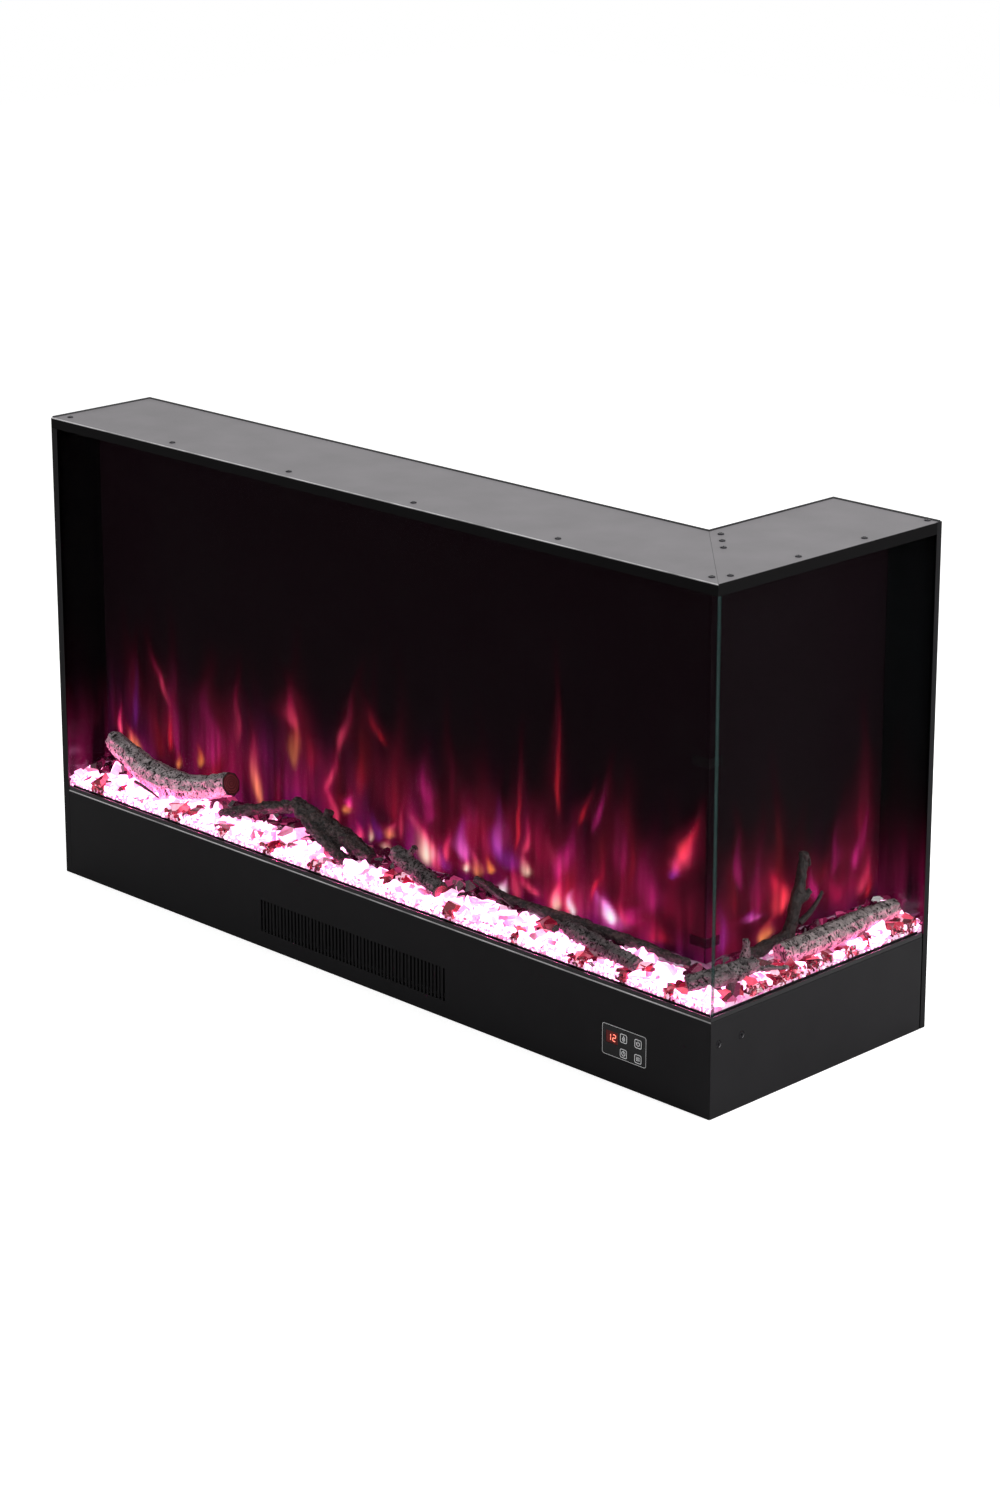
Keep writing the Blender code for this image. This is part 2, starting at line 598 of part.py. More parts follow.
def joint_plate(wing_cover):
    """The strip under the covers' mitre, with its three screws up through the wing's cover."""
    diagonal = Vector((-WING_DEPTH, MAIN_DEPTH, 0))
    along = diagonal.normalized()
    aside = Vector((along.y, -along.x, 0))
    corner = Vector((RIGHT, FRONT, 0))
    far = diagonal.length - JOINT_END_GAP
    ends = [(JOINT_START, -1), (far, -1), (far, 1), (JOINT_START, 1)]
    plan = [corner + along * run + aside * side * JOINT_WIDTH / 2 for run, side in ends]
    plate = post("mitre_joint_plate", [(p.x, p.y) for p in plan], COVER_UNDER - JOINT_PLATE, COVER_UNDER,
                 ZINC_STEEL)
    for i in range(JOINT_SCREWS):
        run = far - JOINT_SCREW_INSET - i * JOINT_SCREW_PITCH
        spot = corner + along * run + aside * JOINT_SCREW_OFFSET
        low = spot + AXIS_Z * (COVER_UNDER - OVERLAP)
        head = spot + AXIS_Z * (HEIGHT + FIT_GAP)
        join(plate, rod("joint_screw_shank", low, head + AXIS_Z * OVERLAP, SCREW_SHANK_RADIUS, sides=10),
             rod("joint_screw_head", head, head + AXIS_Z * SCREW_HEAD_RISE, SCREW_HEAD_RADIUS,
                 tip=SCREW_HEAD_RADIUS * SCREW_DOME_SHARE))
        cut(wing_cover, rod("joint_screw_hole", low, head, SCREW_HOLE_RADIUS, sides=12))


def side_screw_places():
    return [FRONT + SIDE_SCREW_FIRST + i * SIDE_SCREW_PITCH for i in range(2)]


def side_screws():
    """Two flat-headed screws that hold the side fascia to the corner."""
    face = RIGHT - SIDE_SCREW_SINK
    for name, y in zip(("side_screw_front", "side_screw_rear"), side_screw_places()):
        screw = rod(name, (face - SHEET, y, SIDE_SCREW_HEIGHT), (face, y, SIDE_SCREW_HEIGHT), SCREW_HEAD_RADIUS)
        join(screw, rod("side_screw_shank", (face - SIDE_SCREW_LENGTH, y, SIDE_SCREW_HEIGHT),
                        (face - SHEET + OVERLAP, y, SIDE_SCREW_HEIGHT), SCREW_SHANK_RADIUS, sides=10))


def glazing():
    """Two panes that meet at the corner, their bottom channels and their top retainers."""
    low = BASE_HEIGHT + FIT_GAP
    near, far = CHANNEL_SETBACK, CHANNEL_SETBACK + CHANNEL_WIDTH
    channel = [(near, low), (far, low), (far, low + CHANNEL_HEIGHT), (far - CHANNEL_WALL, low + CHANNEL_HEIGHT),
               (far - CHANNEL_WALL, low + CHANNEL_WALL), (near + CHANNEL_WALL, low + CHANNEL_WALL),
               (near + CHANNEL_WALL, low + CHANNEL_HEIGHT), (near, low + CHANNEL_HEIGHT)]
    start, wing_end = LEFT + END_FLANGE + FIT_GAP, REAR - WING_FLANGE - WING_SLIT
    mitre(front_rail("front_glass_channel", channel, start, RIGHT + OVERRUN, BLACK_PLASTIC), SQUARE_MITRE)
    mitre(side_rail("side_glass_channel", channel, FRONT - OVERRUN, wing_end, BLACK_PLASTIC), -SQUARE_MITRE)

    pane_low, pane_high = low + CHANNEL_WALL + FIT_GAP, HEIGHT - SHEET - GLASS_TOP_GAP
    pane_back = GLASS_SETBACK + GLASS
    box("front_glass", (LEFT + SHEET + GLASS_END_GAP, FRONT + GLASS_SETBACK, pane_low),
        (RIGHT - GLASS_SETBACK, FRONT + pane_back, pane_high), CLEAR_GLASS)
    box("side_glass", (RIGHT - pane_back, FRONT + pane_back + FIT_GAP, pane_low),
        (RIGHT - GLASS_SETBACK, REAR - SHEET - GLASS_END_GAP, pane_high), CLEAR_GLASS)

    near, top = pane_back + FIT_GAP, COVER_UNDER
    retainer = [(near, top - RETAINER_LEG), (near + RETAINER_WALL, top - RETAINER_LEG),
                (near + RETAINER_WALL, top - RETAINER_WALL), (near + RETAINER_LEG, top - RETAINER_WALL),
                (near + RETAINER_LEG, top), (near, top)]
    mitre(front_rail("front_glass_retainer", retainer, LEFT + INSIDE, RIGHT + OVERRUN), SQUARE_MITRE)
    mitre(side_rail("side_glass_retainer", retainer, FRONT - OVERRUN, REAR - INSIDE), -SQUARE_MITRE)


def screens():
    """The two smoked screens that show the flames, and the clips at their inner corner."""
    low = DECK_TOP + FIT_GAP
    main_y, wing_x = FRONT + SCREEN_SETBACK, RIGHT - SCREEN_SETBACK
    box("flame_screen_main", (LEFT + INSIDE, main_y, low),
        (wing_x - SCREEN - FIT_GAP, main_y + SCREEN, SCREEN_TOP), SCREEN_ACRYLIC)
    box("flame_screen_wing", (wing_x - SCREEN, main_y, low), (wing_x, REAR - INSIDE, SCREEN_TOP),
        SCREEN_ACRYLIC)
    for name, middle in (("screen_clip_lower", CLIP_LOW), ("screen_clip_upper", CLIP_HIGH)):
        x, y = wing_x - SCREEN - FIT_GAP - CLIP_LEG, main_y - FIT_GAP
        outer = wing_x + FIT_GAP
        plan = [(x, y), (x, y - CLIP_THICK), (outer + CLIP_THICK, y - CLIP_THICK),
                (outer + CLIP_THICK, main_y + CLIP_LEG), (outer, main_y + CLIP_LEG), (outer, y)]
        post(name, plan, middle - CLIP_HEIGHT / 2, middle + CLIP_HEIGHT / 2, ZINC_STEEL)


def trays():
    """The clear trays that carry the crystals, each with a rear flange that stands on the deck."""
    floor, top = BASE_HEIGHT + FIT_GAP, TRAY_FLOOR
    foot = DECK_TOP + FIT_GAP
    section = [(TRAY_SETBACK, floor), (TRAY_REAR - TRAY_WALL, floor), (TRAY_REAR - TRAY_WALL, foot),
               (TRAY_REAR, foot), (TRAY_REAR, top), (TRAY_SETBACK, top)]
    main = front_rail("ember_tray_main", section, LEFT + INSIDE, RIGHT - TRAY_SETBACK, CLEAR_GLASS)
    cut(main, box("flange_end_trim", (RIGHT - TRAY_REAR, FRONT + TRAY_SETBACK, foot - OVERRUN),
                  (RIGHT, FRONT + SCREEN_SETBACK, floor)))
    side_rail("ember_tray_wing", section, FRONT + SCREEN_SETBACK, REAR - INSIDE, CLEAR_GLASS)


def bed_level(x, y):
    """The bed's mean height: it rises from either glass towards the screens."""
    inward = min(y - FRONT, RIGHT - x) - BED_SETBACK
    share = min(max(inward / BED_DEPTH, 0), 1)
    return TRAY_FLOOR + BED_FRONT_RISE + (BED_BACK_RISE - BED_FRONT_RISE) * share


def crystal_bed(name, low, high, finish, lift=0):
    """A block of crystals with a lumpy top over one leg's tray."""
    size = Vector(high) - Vector(low)
    cells = [max(2, round(side / EMBER_CELL)) for side in size]
    mesh = bpy.data.meshes.new(name)
    shape = bmesh.new()
    bmesh.ops.create_grid(shape, x_segments=cells[0], y_segments=cells[1], size=0.5)
    for vert in shape.verts:
        x, y = low[0] + (vert.co.x + 0.5) * size.x, low[1] + (vert.co.y + 0.5) * size.y
        lump = noise.noise(Vector((x, y, HEIGHT)) / LUMP_SIZE) * LUMP_HEIGHT
        vert.co = (x, y, bed_level(x, y) + lump + lift)
    bmesh.ops.triangulate(shape, faces=shape.faces, quad_method="FIXED")
    skirt = bmesh.ops.extrude_edge_only(shape, edges=[e for e in shape.edges if e.is_boundary])
    lower = [v for v in skirt["geom"] if isinstance(v, bmesh.types.BMVert)]
    for vert in lower:
        vert.co.z = TRAY_FLOOR + FIT_GAP
    bmesh.ops.contextual_create(shape, geom=[e for e in shape.edges if e.is_boundary])
    bmesh.ops.recalc_face_normals(shape, faces=shape.faces)
    shape.to_mesh(mesh)
    shape.free()
    obj = bpy.data.objects.new(name, mesh)
    bpy.context.scene.collection.objects.link(obj)
    return place(obj, finish)


def ember_beds():
    """One bed along the main leg to the corner, one along the wing, and raised copies that trim logs."""
    main = (LEFT + INSIDE, FRONT + BED_SETBACK), (RIGHT - BED_SETBACK, FRONT + TRAY_REAR)
    wing = (RIGHT - TRAY_REAR, FRONT + SCREEN_SETBACK), (RIGHT - BED_SETBACK, REAR - INSIDE)
    crystal_bed("ember_bed_main", *main, CRYSTAL)
    crystal_bed("ember_bed_wing", *wing, CRYSTAL)
    return [hidden(crystal_bed(name, *plan, CRYSTAL, BED_CUT_GAP))
            for name, plan in (("main_bed_trim", main), ("wing_bed_trim", wing))]


def main_spot(run_share, depth_share):
    return Vector((LEFT + run_share * LENGTH, FRONT + BED_SETBACK + depth_share * BED_DEPTH, 0))


def wing_spot(run_share, depth_share):
    return Vector((RIGHT - BED_SETBACK - depth_share * BED_DEPTH, FRONT + run_share * WING_REACH, 0))


def smooth_path(points):
    """Reads a smooth line through the points, with steps between each pair."""
    path = []
    for i in range(len(points) - 1):
        before, after = points[max(i - 1, 0)], points[min(i + 2, len(points) - 1)]
        for step in range(LOG_STEPS):
            t = step / LOG_STEPS
            path.append(0.5 * (2 * points[i] + (points[i + 1] - before) * t
                               + (2 * before - 5 * points[i] + 4 * points[i + 1] - after) * t ** 2
                               + (3 * points[i] - 3 * points[i + 1] + after - before) * t ** 3))
    return path + [points[-1]]


def limb(name, shares, radius, spot, finish):
    """One tapering limb through its places, with a grain that follows the wood."""
    stops = []
    for run, depth, lift, girth in shares:
        foot = spot(run, depth)
        stops.append(Vector((foot.x, foot.y, bed_level(foot.x, foot.y) + lift * radius, girth)))
    path = smooth_path(stops)
    curve = bpy.data.curves.new(name, "CURVE")
    curve.dimensions = "3D"
    curve.bevel_depth = radius
    curve.bevel_resolution = 2
    curve.use_fill_caps = True
    spline = curve.splines.new("POLY")
    spline.points.add(len(path) - 1)
    for point, stop in zip(spline.points, path):
        grain = noise.noise(stop.xyz / LOG_GRAIN)
        point.co = (*stop.xyz, 1)
        point.radius = stop.w * (1 + LOG_GRAIN_SHARE * grain)
    obj = bpy.data.objects.new(name, curve)
    bpy.context.scene.collection.objects.link(obj)
    return place(mesh_of(obj), finish)


def log(name, radius, spot, finish, bed, main_limb, *more_limbs):
    """A cast log: its limbs in one piece, bedded into the crystals."""
    piece = limb(name, main_limb, radius, spot, finish)
    for shares, thickness in more_limbs:
        join(piece, limb(name + "_limb", shares, thickness, spot, finish))
    return cut_by_bed(piece, bed)


def cut_by_bed(piece, bed):
    trim = piece.modifiers.new("bed", "BOOLEAN")
    trim.operation = "DIFFERENCE"
    trim.solver = "EXACT"
    trim.object = bed
    return piece


def logs(main_bed, wing_bed):
    log("log_birch_left", BIRCH_LEFT_RADIUS, main_spot, BIRCH_BARK, main_bed, BIRCH_LEFT_SHARES)
    log("branch_forked", FORK_RADIUS, main_spot, DARK_BARK, main_bed, FORK_LEFT_SHARES,
        (FORK_RIGHT_SHARES, FORK_RADIUS), (FORK_KNOTTY_SHARES, FORK_KNOTTY_RADIUS),
        (FORK_KNOB_SHARES, FORK_KNOTTY_RADIUS))
    log("log_short", SHORT_RADIUS, main_spot, BIRCH_BARK, main_bed, SHORT_SHARES,
        (SHORT_KNOB_SHARES, SHORT_RADIUS))
    log("branch_rear", REAR_BRANCH_RADIUS, main_spot, DARK_BARK, main_bed, REAR_BRANCH_SHARES)
    log("log_ringed", RINGED_RADIUS, main_spot, BIRCH_BARK, main_bed, RINGED_SHARES)
    corner = log("log_corner", CORNER_LOG_RADIUS, wing_spot, BIRCH_BARK, main_bed, CORNER_LOG_SHARES,
                 (CORNER_STUB_SHARES, CORNER_LOG_RADIUS), (CORNER_TWIG_SHARES, CORNER_LOG_RADIUS))
    cut_by_bed(corner, wing_bed)
    log("root_stump", ROOT_RADIUS, wing_spot, DARK_BARK, wing_bed, ROOT_SHARES,
        (ROOT_STEM_SHARES, ROOT_RADIUS), (ROOT_KNOB_SHARES, ROOT_RADIUS))
    log("log_birch_wing", BIRCH_WING_RADIUS, wing_spot, BIRCH_BARK, wing_bed, BIRCH_WING_SHARES)


def flame_rotor(name, start, along, length):
    """A spindle of bright fins that throws the moving light up the screen."""
    spindle = rod(name, start, start + along * length, SHAFT_RADIUS, BRIGHT_FOIL, 12)
    run = length - 2 * (SHAFT_SEAT + ROTOR_FIN_WIDTH)
    fins = max(2, round(run / ROTOR_FIN_PITCH) + 1)
    for i in range(fins):
        middle = start + along * (SHAFT_SEAT + ROTOR_FIN_WIDTH + run * i / (fins - 1))
        half = Vector((ROTOR_FIN_WIDTH, 2 * ROTOR_RADIUS, ROTOR_FIN)) / 2
        fin = box("rotor_fin", -half, half)
        turn = Matrix.Rotation(i * ROTOR_FIN_TURN, 4, along)
        facing = Matrix.Identity(4) if along.x else Matrix.Rotation(math.radians(90), 4, "Z")
        fin.matrix_world = Matrix.Translation(middle) @ turn @ facing
        join(spindle, fin)
    return spindle


def bore(start, along, depth):
    """A cutter for a hole that a spindle turns in."""
    return rod("bore", Vector(start) - Vector(along) * OVERRUN, Vector(start) + Vector(along) * depth,
               SHAFT_BORE_RADIUS, sides=20)


def upright(name, centre, along, width, low, high, thickness, finish):
    """A plate that stands square to a spindle, its near face at the centre point."""
    centre, along = Vector(centre), Vector(along)
    aside = Vector((along.y, along.x, 0)) * width / 2
    a = Vector((centre.x, centre.y, low)) - aside
    b = Vector((centre.x, centre.y, high)) + aside + along * thickness
    return box(name, [min(p) for p in zip(a, b)], [max(p) for p in zip(a, b)], finish)


def spindle_motor(name, face, along, radius, low, width, height):
    """A motor on a bracket. Its boss reaches back against the along direction to the spindle."""
    face, along = Vector(face), Vector(along)
    piece = upright(name, face, along, width, low, low + height, MOTOR_PLATE, ZINC_STEEL)
    foot = upright("motor_foot", face, along, width, low, low + MOTOR_PLATE, MOTOR_FOOT, ZINC_STEEL)
    can = rod("motor_can", face + along * (MOTOR_PLATE - OVERLAP), face + along * MOTOR_LENGTH, radius,
              sides=24)
    boss = rod("motor_boss", face - along * BOSS_LENGTH, face + along * OVERLAP, BOSS_RADIUS)
    join(piece, foot, can, boss)
    return cut(piece, bore(face - along * BOSS_LENGTH, along, SHAFT_SEAT + SHAFT_RADIUS))


def flame_effect():
    """Rotors, their motors and bearings, and the LED strips of both legs."""
    low = DECK_TOP + FIT_GAP
    main_start, main_end = LEFT + ROTOR_INSET, INNER - ROTOR_CORNER_GAP
    wing_start, wing_end = BACK + ROTOR_CORNER_GAP, REAR - ROTOR_INSET
    legs = (("main", Vector((0, MAIN_ROTOR_Y, ROTOR_Z)), -AXIS_X, main_start, main_end),
            ("wing", Vector((WING_ROTOR_X, 0, ROTOR_Z)), AXIS_Y, wing_start, wing_end))
    for leg, line, out, start, end in legs:
        along = AXIS_X if leg == "main" else AXIS_Y
        motor_end, free_end = (start, end) if leg == "main" else (end, start)
        face = line + along * motor_end
        spindle_motor(f"rotor_motor_{leg}", face, out, MOTOR_RADIUS, low, BRACKET_WIDTH, BRACKET_HEIGHT)
        inner = face - out * (BOSS_LENGTH - SHAFT_SEAT)
        outer = line + along * free_end
        flame_rotor(f"flame_rotor_{leg}", inner, -out, (outer - inner).length)
        plate_face = outer + out * (SHAFT_SEAT - BEARING_PLATE) / 2
        bearing = upright(f"rotor_bearing_{leg}", plate_face, out, BEARING_WIDTH, low, low + BEARING_HEIGHT,
                          BEARING_PLATE, BLACK_PLASTIC)
        foot = upright("bearing_foot", plate_face + out * OVERLAP, -out, BEARING_WIDTH, low,
                       low + BEARING_PLATE, MOTOR_FOOT / 2, BLACK_PLASTIC)
        join(bearing, foot)
        cut(bearing, bore(plate_face, out, BEARING_PLATE + OVERRUN))

    behind = SCREEN_SETBACK + SCREEN
    main_led = behind + (MAIN_ROTOR_Y - FRONT - behind) * FLAME_LED_SHARE
    wing_led = behind + (RIGHT - WING_ROTOR_X - behind) * FLAME_LED_SHARE
    led_strip("flame_leds_main", front_rail, main_led, main_start, main_end)
    led_strip("flame_leds_wing", side_rail, wing_led, wing_start, wing_end)
    under = TRAY_SETBACK + (TRAY_REAR - TRAY_SETBACK) / 2
    led_strip("ember_leds_main", front_rail, under, LEFT + LED_END_GAP, RIGHT - SCREEN_SETBACK)
    led_strip("ember_leds_wing", side_rail, under, FRONT + SCREEN_SETBACK, REAR - LED_END_GAP)


def led_strip(name, rail, setback, start, end):
    """A narrow board with a row of square LEDs, stuck to the deck."""
    low = DECK_TOP + FIT_GAP
    top = low + LED_STRIP
    half = LED_STRIP_WIDTH / 2
    strip = rail(name, [(setback - half, low), (setback + half, low), (setback + half, top),
                        (setback - half, top)], start, end, CIRCUIT_BOARD)
    run = end - start - 2 * LED_PITCH / 2
    count = max(2, round(run / LED_PITCH) + 1)
    half = LED_SIZE / 2
    for i in range(count):
        middle = start + LED_PITCH / 2 + run * i / (count - 1)
        led = rail("led", [(setback - half, top - OVERLAP), (setback + half, top - OVERLAP),
                           (setback + half, top + LED_RISE), (setback - half, top + LED_RISE)],
                   middle - half, middle + half)
        join(strip, led)
    return strip


def heater():
    """Housing, heating element, cross-flow wheel and its motor, behind the grille."""
    left, right = GRILLE_X - HOUSING_LENGTH / 2, GRILLE_X + HOUSING_LENGTH / 2
    low, high = HOUSING_LOW, HOUSING_LOW + HOUSING_HEIGHT
    rear = HOUSING_FRONT + HOUSING_DEPTH
    wall = HOUSING_WALL
    housing = box("heater_housing", (left, HOUSING_FRONT, low), (right, rear, high), ZINC_STEEL)
    hollow = box("housing_hollow", (left + wall, HOUSING_FRONT - OVERRUN, low + wall),
                 (right - wall, rear - wall, high - wall))
    inlet = box("housing_inlet", (GRILLE_X - INTAKE_LENGTH / 2, WHEEL_Y - INTAKE_DEPTH / 2, low - OVERRUN),
                (GRILLE_X + INTAKE_LENGTH / 2, WHEEL_Y + INTAKE_DEPTH / 2, low + wall + OVERRUN))
    axle = rod("housing_axle_hole", (left - OVERRUN, WHEEL_Y, WHEEL_AXIS_HEIGHT),
               (right + OVERRUN, WHEEL_Y, WHEEL_AXIS_HEIGHT), SHAFT_BORE_RADIUS, sides=20)
    cut(housing, hollow, inlet, axle)

    element_front = HOUSING_FRONT + ELEMENT_SETBACK
    element_high = ELEMENT_LOW + ELEMENT_HEIGHT
    inner_left, inner_right = left + wall + FIT_GAP, right - wall - FIT_GAP
    element = box("heating_element", (inner_left, element_front, ELEMENT_LOW),
                  (inner_right, element_front + ELEMENT_DEPTH, element_high), CERAMIC)
    pitch = (inner_right - inner_left - ELEMENT_RAIL) / ELEMENT_FINS
    gap = box("element_gaps", (inner_left + ELEMENT_RAIL, element_front - OVERRUN, ELEMENT_LOW + ELEMENT_RAIL),
              (inner_left + ELEMENT_RAIL + pitch - ELEMENT_FIN, element_front + ELEMENT_DEPTH + OVERRUN,
               element_high - ELEMENT_RAIL))
    cut(element, repeat(gap, ELEMENT_FINS, (pitch, 0, 0)))

    blower_wheel(left, right)
    face = Vector((MOTOR_FACE_X, WHEEL_Y, WHEEL_AXIS_HEIGHT))
    spindle_motor("blower_motor", face, AXIS_X, MOTOR_RADIUS, HOUSING_LOW, BRACKET_WIDTH,
                  WHEEL_AXIS_HEIGHT - HOUSING_LOW + MOTOR_RADIUS)


def blower_wheel(left, right):
    """A squirrel-cage wheel: thin blades between discs, with a stub shaft at each end."""
    axis = Vector((0, WHEEL_Y, WHEEL_AXIS_HEIGHT))
    first, last = left + HOUSING_WALL + WHEEL_END_GAP, right - HOUSING_WALL - WHEEL_END_GAP
    wheel = rod("blower_wheel", axis + AXIS_X * first, axis + AXIS_X * (first + WHEEL_DISC),
                WHEEL_RADIUS, BLACK_PLASTIC, 24)
    middle = (first + last) / 2
    for start, end in ((middle - WHEEL_DISC / 2, middle + WHEEL_DISC / 2), (last - WHEEL_DISC, last)):
        join(wheel, rod("wheel_disc", axis + AXIS_X * start, axis + AXIS_X * end, WHEEL_RADIUS, sides=24))
    reach = WHEEL_RADIUS * WHEEL_RIM_SHARE
    for i in range(WHEEL_BLADES):
        blade = box("wheel_blade", (first + OVERLAP, reach - WHEEL_BLADE_DEPTH, -WHEEL_BLADE / 2),
                    (last - OVERLAP, reach, WHEEL_BLADE / 2))
        turn = Matrix.Rotation(2 * math.pi * i / WHEEL_BLADES, 4, "X")
        blade.matrix_world = Matrix.Translation(axis) @ turn @ blade.matrix_world
        join(wheel, blade)
    motor_seat = right + MOTOR_GAP + SHAFT_SEAT
    join(wheel, rod("left_stub", axis + AXIS_X * (left + FIT_GAP), axis + AXIS_X * (first + OVERLAP),
                    SHAFT_RADIUS, sides=12),
         rod("right_stub", axis + AXIS_X * (last - OVERLAP), axis + AXIS_X * motor_seat, SHAFT_RADIUS,
             sides=12))
    return wheel


def key_places():
    """Names and lower left corners of the four keys, across then up."""
    names = (("key_timer", "key_heat"), ("key_flame", "key_power"))
    x0 = PANEL_LEFT + KEY_COLUMN_FIRST - KEY_SIZE / 2
    z0 = PANEL_LOW + KEY_ROW_FIRST - KEY_SIZE / 2
    return [(names[row][column], x0 + column * KEY_COLUMN_PITCH, z0 + row * KEY_ROW_PITCH)
            for row in range(2) for column in range(2)]


def front_block(name, low, high, near, far, corner, finish=BLACK_PLASTIC):
    """A rounded rectangle of (x, z), run in depth from near to far."""
    return extruded(name, rounded(low, high, corner), AXIS_X, AXIS_Z, -near, -far, finish)


def controls():
    """Bezel, display, four keys and the board with their switches."""
    low, high = (PANEL_LEFT, PANEL_LOW), (PANEL_LEFT + PANEL_WIDTH, PANEL_LOW + PANEL_HEIGHT)
    rim_low, rim_high = [v - BEZEL_RIM for v in low], [v + BEZEL_RIM for v in high]
    bezel = front_block("control_bezel", rim_low, rim_high, FRONT + INSIDE, BEZEL_REAR, PANEL_CORNER,
                        GLOSS_PLASTIC)
    face = front_block("bezel_face", [v + FIT_GAP for v in low], [v - FIT_GAP for v in high], BEZEL_FRONT,
                       FRONT + INSIDE + OVERLAP, PANEL_CORNER, GLOSS_PLASTIC)
    join(bezel, face)
    post_x = (rim_low[0] + POST_SIZE / 2, rim_high[0] - POST_SIZE * 3 / 2)
    post_z = (rim_low[1] + POST_SIZE / 2, rim_high[1] - POST_SIZE * 3 / 2)
    for x in post_x:
        for z in post_z:
            join(bezel, box("board_post", (x, BEZEL_REAR - OVERLAP, z),
                            (x + POST_SIZE, BOARD_FRONT - FIT_GAP, z + POST_SIZE)))

    board = box("control_board", (rim_low[0], BOARD_FRONT, rim_low[1]),
                (rim_high[0], BOARD_FRONT + BOARD, rim_high[1]), CIRCUIT_BOARD)
    for name, x, z in key_places():
        corner = (x + KEY_SIZE, z + KEY_SIZE)
        key = front_block(name, (x, z), corner, FRONT + KEY_RECESS, KEY_REAR - OVERLAP, KEY_CORNER)
        flange = front_block("key_flange", (x - KEY_FLANGE, z - KEY_FLANGE),
                             (corner[0] + KEY_FLANGE, corner[1] + KEY_FLANGE),
                             KEY_REAR - KEY_FLANGE_THICK, KEY_REAR, KEY_CORNER)
        join(key, flange)
        hole = front_block("key_hole", (x - FIT_GAP, z - FIT_GAP), (corner[0] + FIT_GAP, corner[1] + FIT_GAP),
                           FRONT - OVERRUN, BEZEL_REAR + OVERRUN, KEY_CORNER)
        cut(bezel, hole)
        inset = (KEY_SIZE - SWITCH_SIZE) / 2
        join(board, box("switch", (x + inset, SWITCH_FRONT, z + inset),
                        (x + inset + SWITCH_SIZE, BOARD_FRONT + OVERLAP, z + inset + SWITCH_SIZE)))

    x, z = PANEL_LEFT + DISPLAY_LEFT, PANEL_LOW + DISPLAY_LOW
    box("display_window", (x, BEZEL_FRONT + DISPLAY_RECESS, z),
        (x + DISPLAY_WIDTH, BOARD_FRONT - FIT_GAP, z + DISPLAY_HEIGHT), DISPLAY_RED)
    cut(bezel, box("display_hole", (x - FIT_GAP, FRONT - OVERRUN, z - FIT_GAP),
                   (x + DISPLAY_WIDTH + FIT_GAP, BEZEL_REAR + OVERRUN, z + DISPLAY_HEIGHT + FIT_GAP)))


def power_board():
    """The supply board on four standoffs, with its transformer and capacitors."""
    left, near = MOTOR_FACE_X + MOTOR_LENGTH + POWER_GAP, FRONT + (MAIN_DEPTH - POWER_WIDTH) / 2
    right, far = left + POWER_LENGTH, near + POWER_WIDTH
    floor = SHEET + FIT_GAP
    low = floor + POWER_STANDOFF
    top = low + BOARD
    board = box("power_board", (left, near, low), (right, far, top), CIRCUIT_BOARD)
    for x in (left + STANDOFF_INSET, right - STANDOFF_INSET):
        for y in (near + STANDOFF_INSET, far - STANDOFF_INSET):
            join(board, rod("standoff", (x, y, floor), (x, y, low + OVERLAP), STANDOFF_RADIUS, sides=10))
    start = left + 2 * STANDOFF_INSET
    join(board, box("transformer", (start, near + 2 * STANDOFF_INSET, top - OVERLAP),
                    (start + TRANSFORMER_LENGTH, near + 2 * STANDOFF_INSET + TRANSFORMER_WIDTH,
                     top + TRANSFORMER_HEIGHT)))
    for i in range(2):
        x = start + TRANSFORMER_LENGTH + (2 + 3 * i) * CAPACITOR_RADIUS
        y = near + 2 * STANDOFF_INSET + TRANSFORMER_WIDTH / 2
        join(board, rod("capacitor", (x, y, top - OVERLAP), (x, y, top + CAPACITOR_HEIGHT),
                        CAPACITOR_RADIUS))
    return board


def cable_gland():
    """A turned gland through the rear panel, seated from inside, where the supply cable goes in."""
    seat = -SHEET - FIT_GAP
    under = seat - GLAND_FLANGE
    tip, round_end = GLAND_DOME_LENGTH, GLAND_DOME_RADIUS - GLAND_BORE_RADIUS
    profile = [(GLAND_BORE_RADIUS, under - GLAND_INNER_LENGTH),
               *arc((GLAND_BORE_RADIUS, tip - round_end), round_end, 90, 0),
               (GLAND_DOME_RADIUS, seat), (GLAND_FLANGE_RADIUS, seat), (GLAND_FLANGE_RADIUS, under),
               (GLAND_BODY_RADIUS, under), (GLAND_BODY_RADIUS, under - GLAND_INNER_LENGTH)]
    mesh = bpy.data.meshes.new("cable_gland")
    count = len(profile)
    mesh.from_pydata([(radius, 0, z) for radius, z in profile], [(i, (i + 1) % count) for i in range(count)], [])
    gland = bpy.data.objects.new("cable_gland", mesh)
    bpy.context.scene.collection.objects.link(gland)
    turn = gland.modifiers.new("turn", "SCREW")
    turn.axis = "Z"
    turn.angle = 2 * math.pi
    turn.steps = turn.render_steps = 24
    turn.use_merge_vertices = True
    turn.merge_threshold = 0.00001
    gland.location = (RIGHT - GLAND_FROM_RIGHT, BACK, GLAND_HEIGHT)
    gland.rotation_euler = (math.radians(-90), 0, 0)
    return place(gland, BLACK_PLASTIC)


def smooth_rounds():
    """Shades round pieces smooth and keeps their real edges sharp."""
    for obj in parts.objects:
        obj.data.shade_smooth()
        obj.data.set_sharp_from_angle(angle=math.radians(35))


casing()
side_screws()
glazing()
screens()
trays()
logs(*ember_beds())
flame_effect()
heater()
controls()
power_board()
cable_gland()
smooth_rounds()
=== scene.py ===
# %% [markdown]
# # A two-sided corner fire
# This lesson dresses an electric fire that is built into a wall corner. The frame already holds
# every working piece at its real size. Here each surface gets its finish, and the pieces that
# carry the picture are modelled: glass, crystals, logs, flames, screws and key signs.

import math
import random

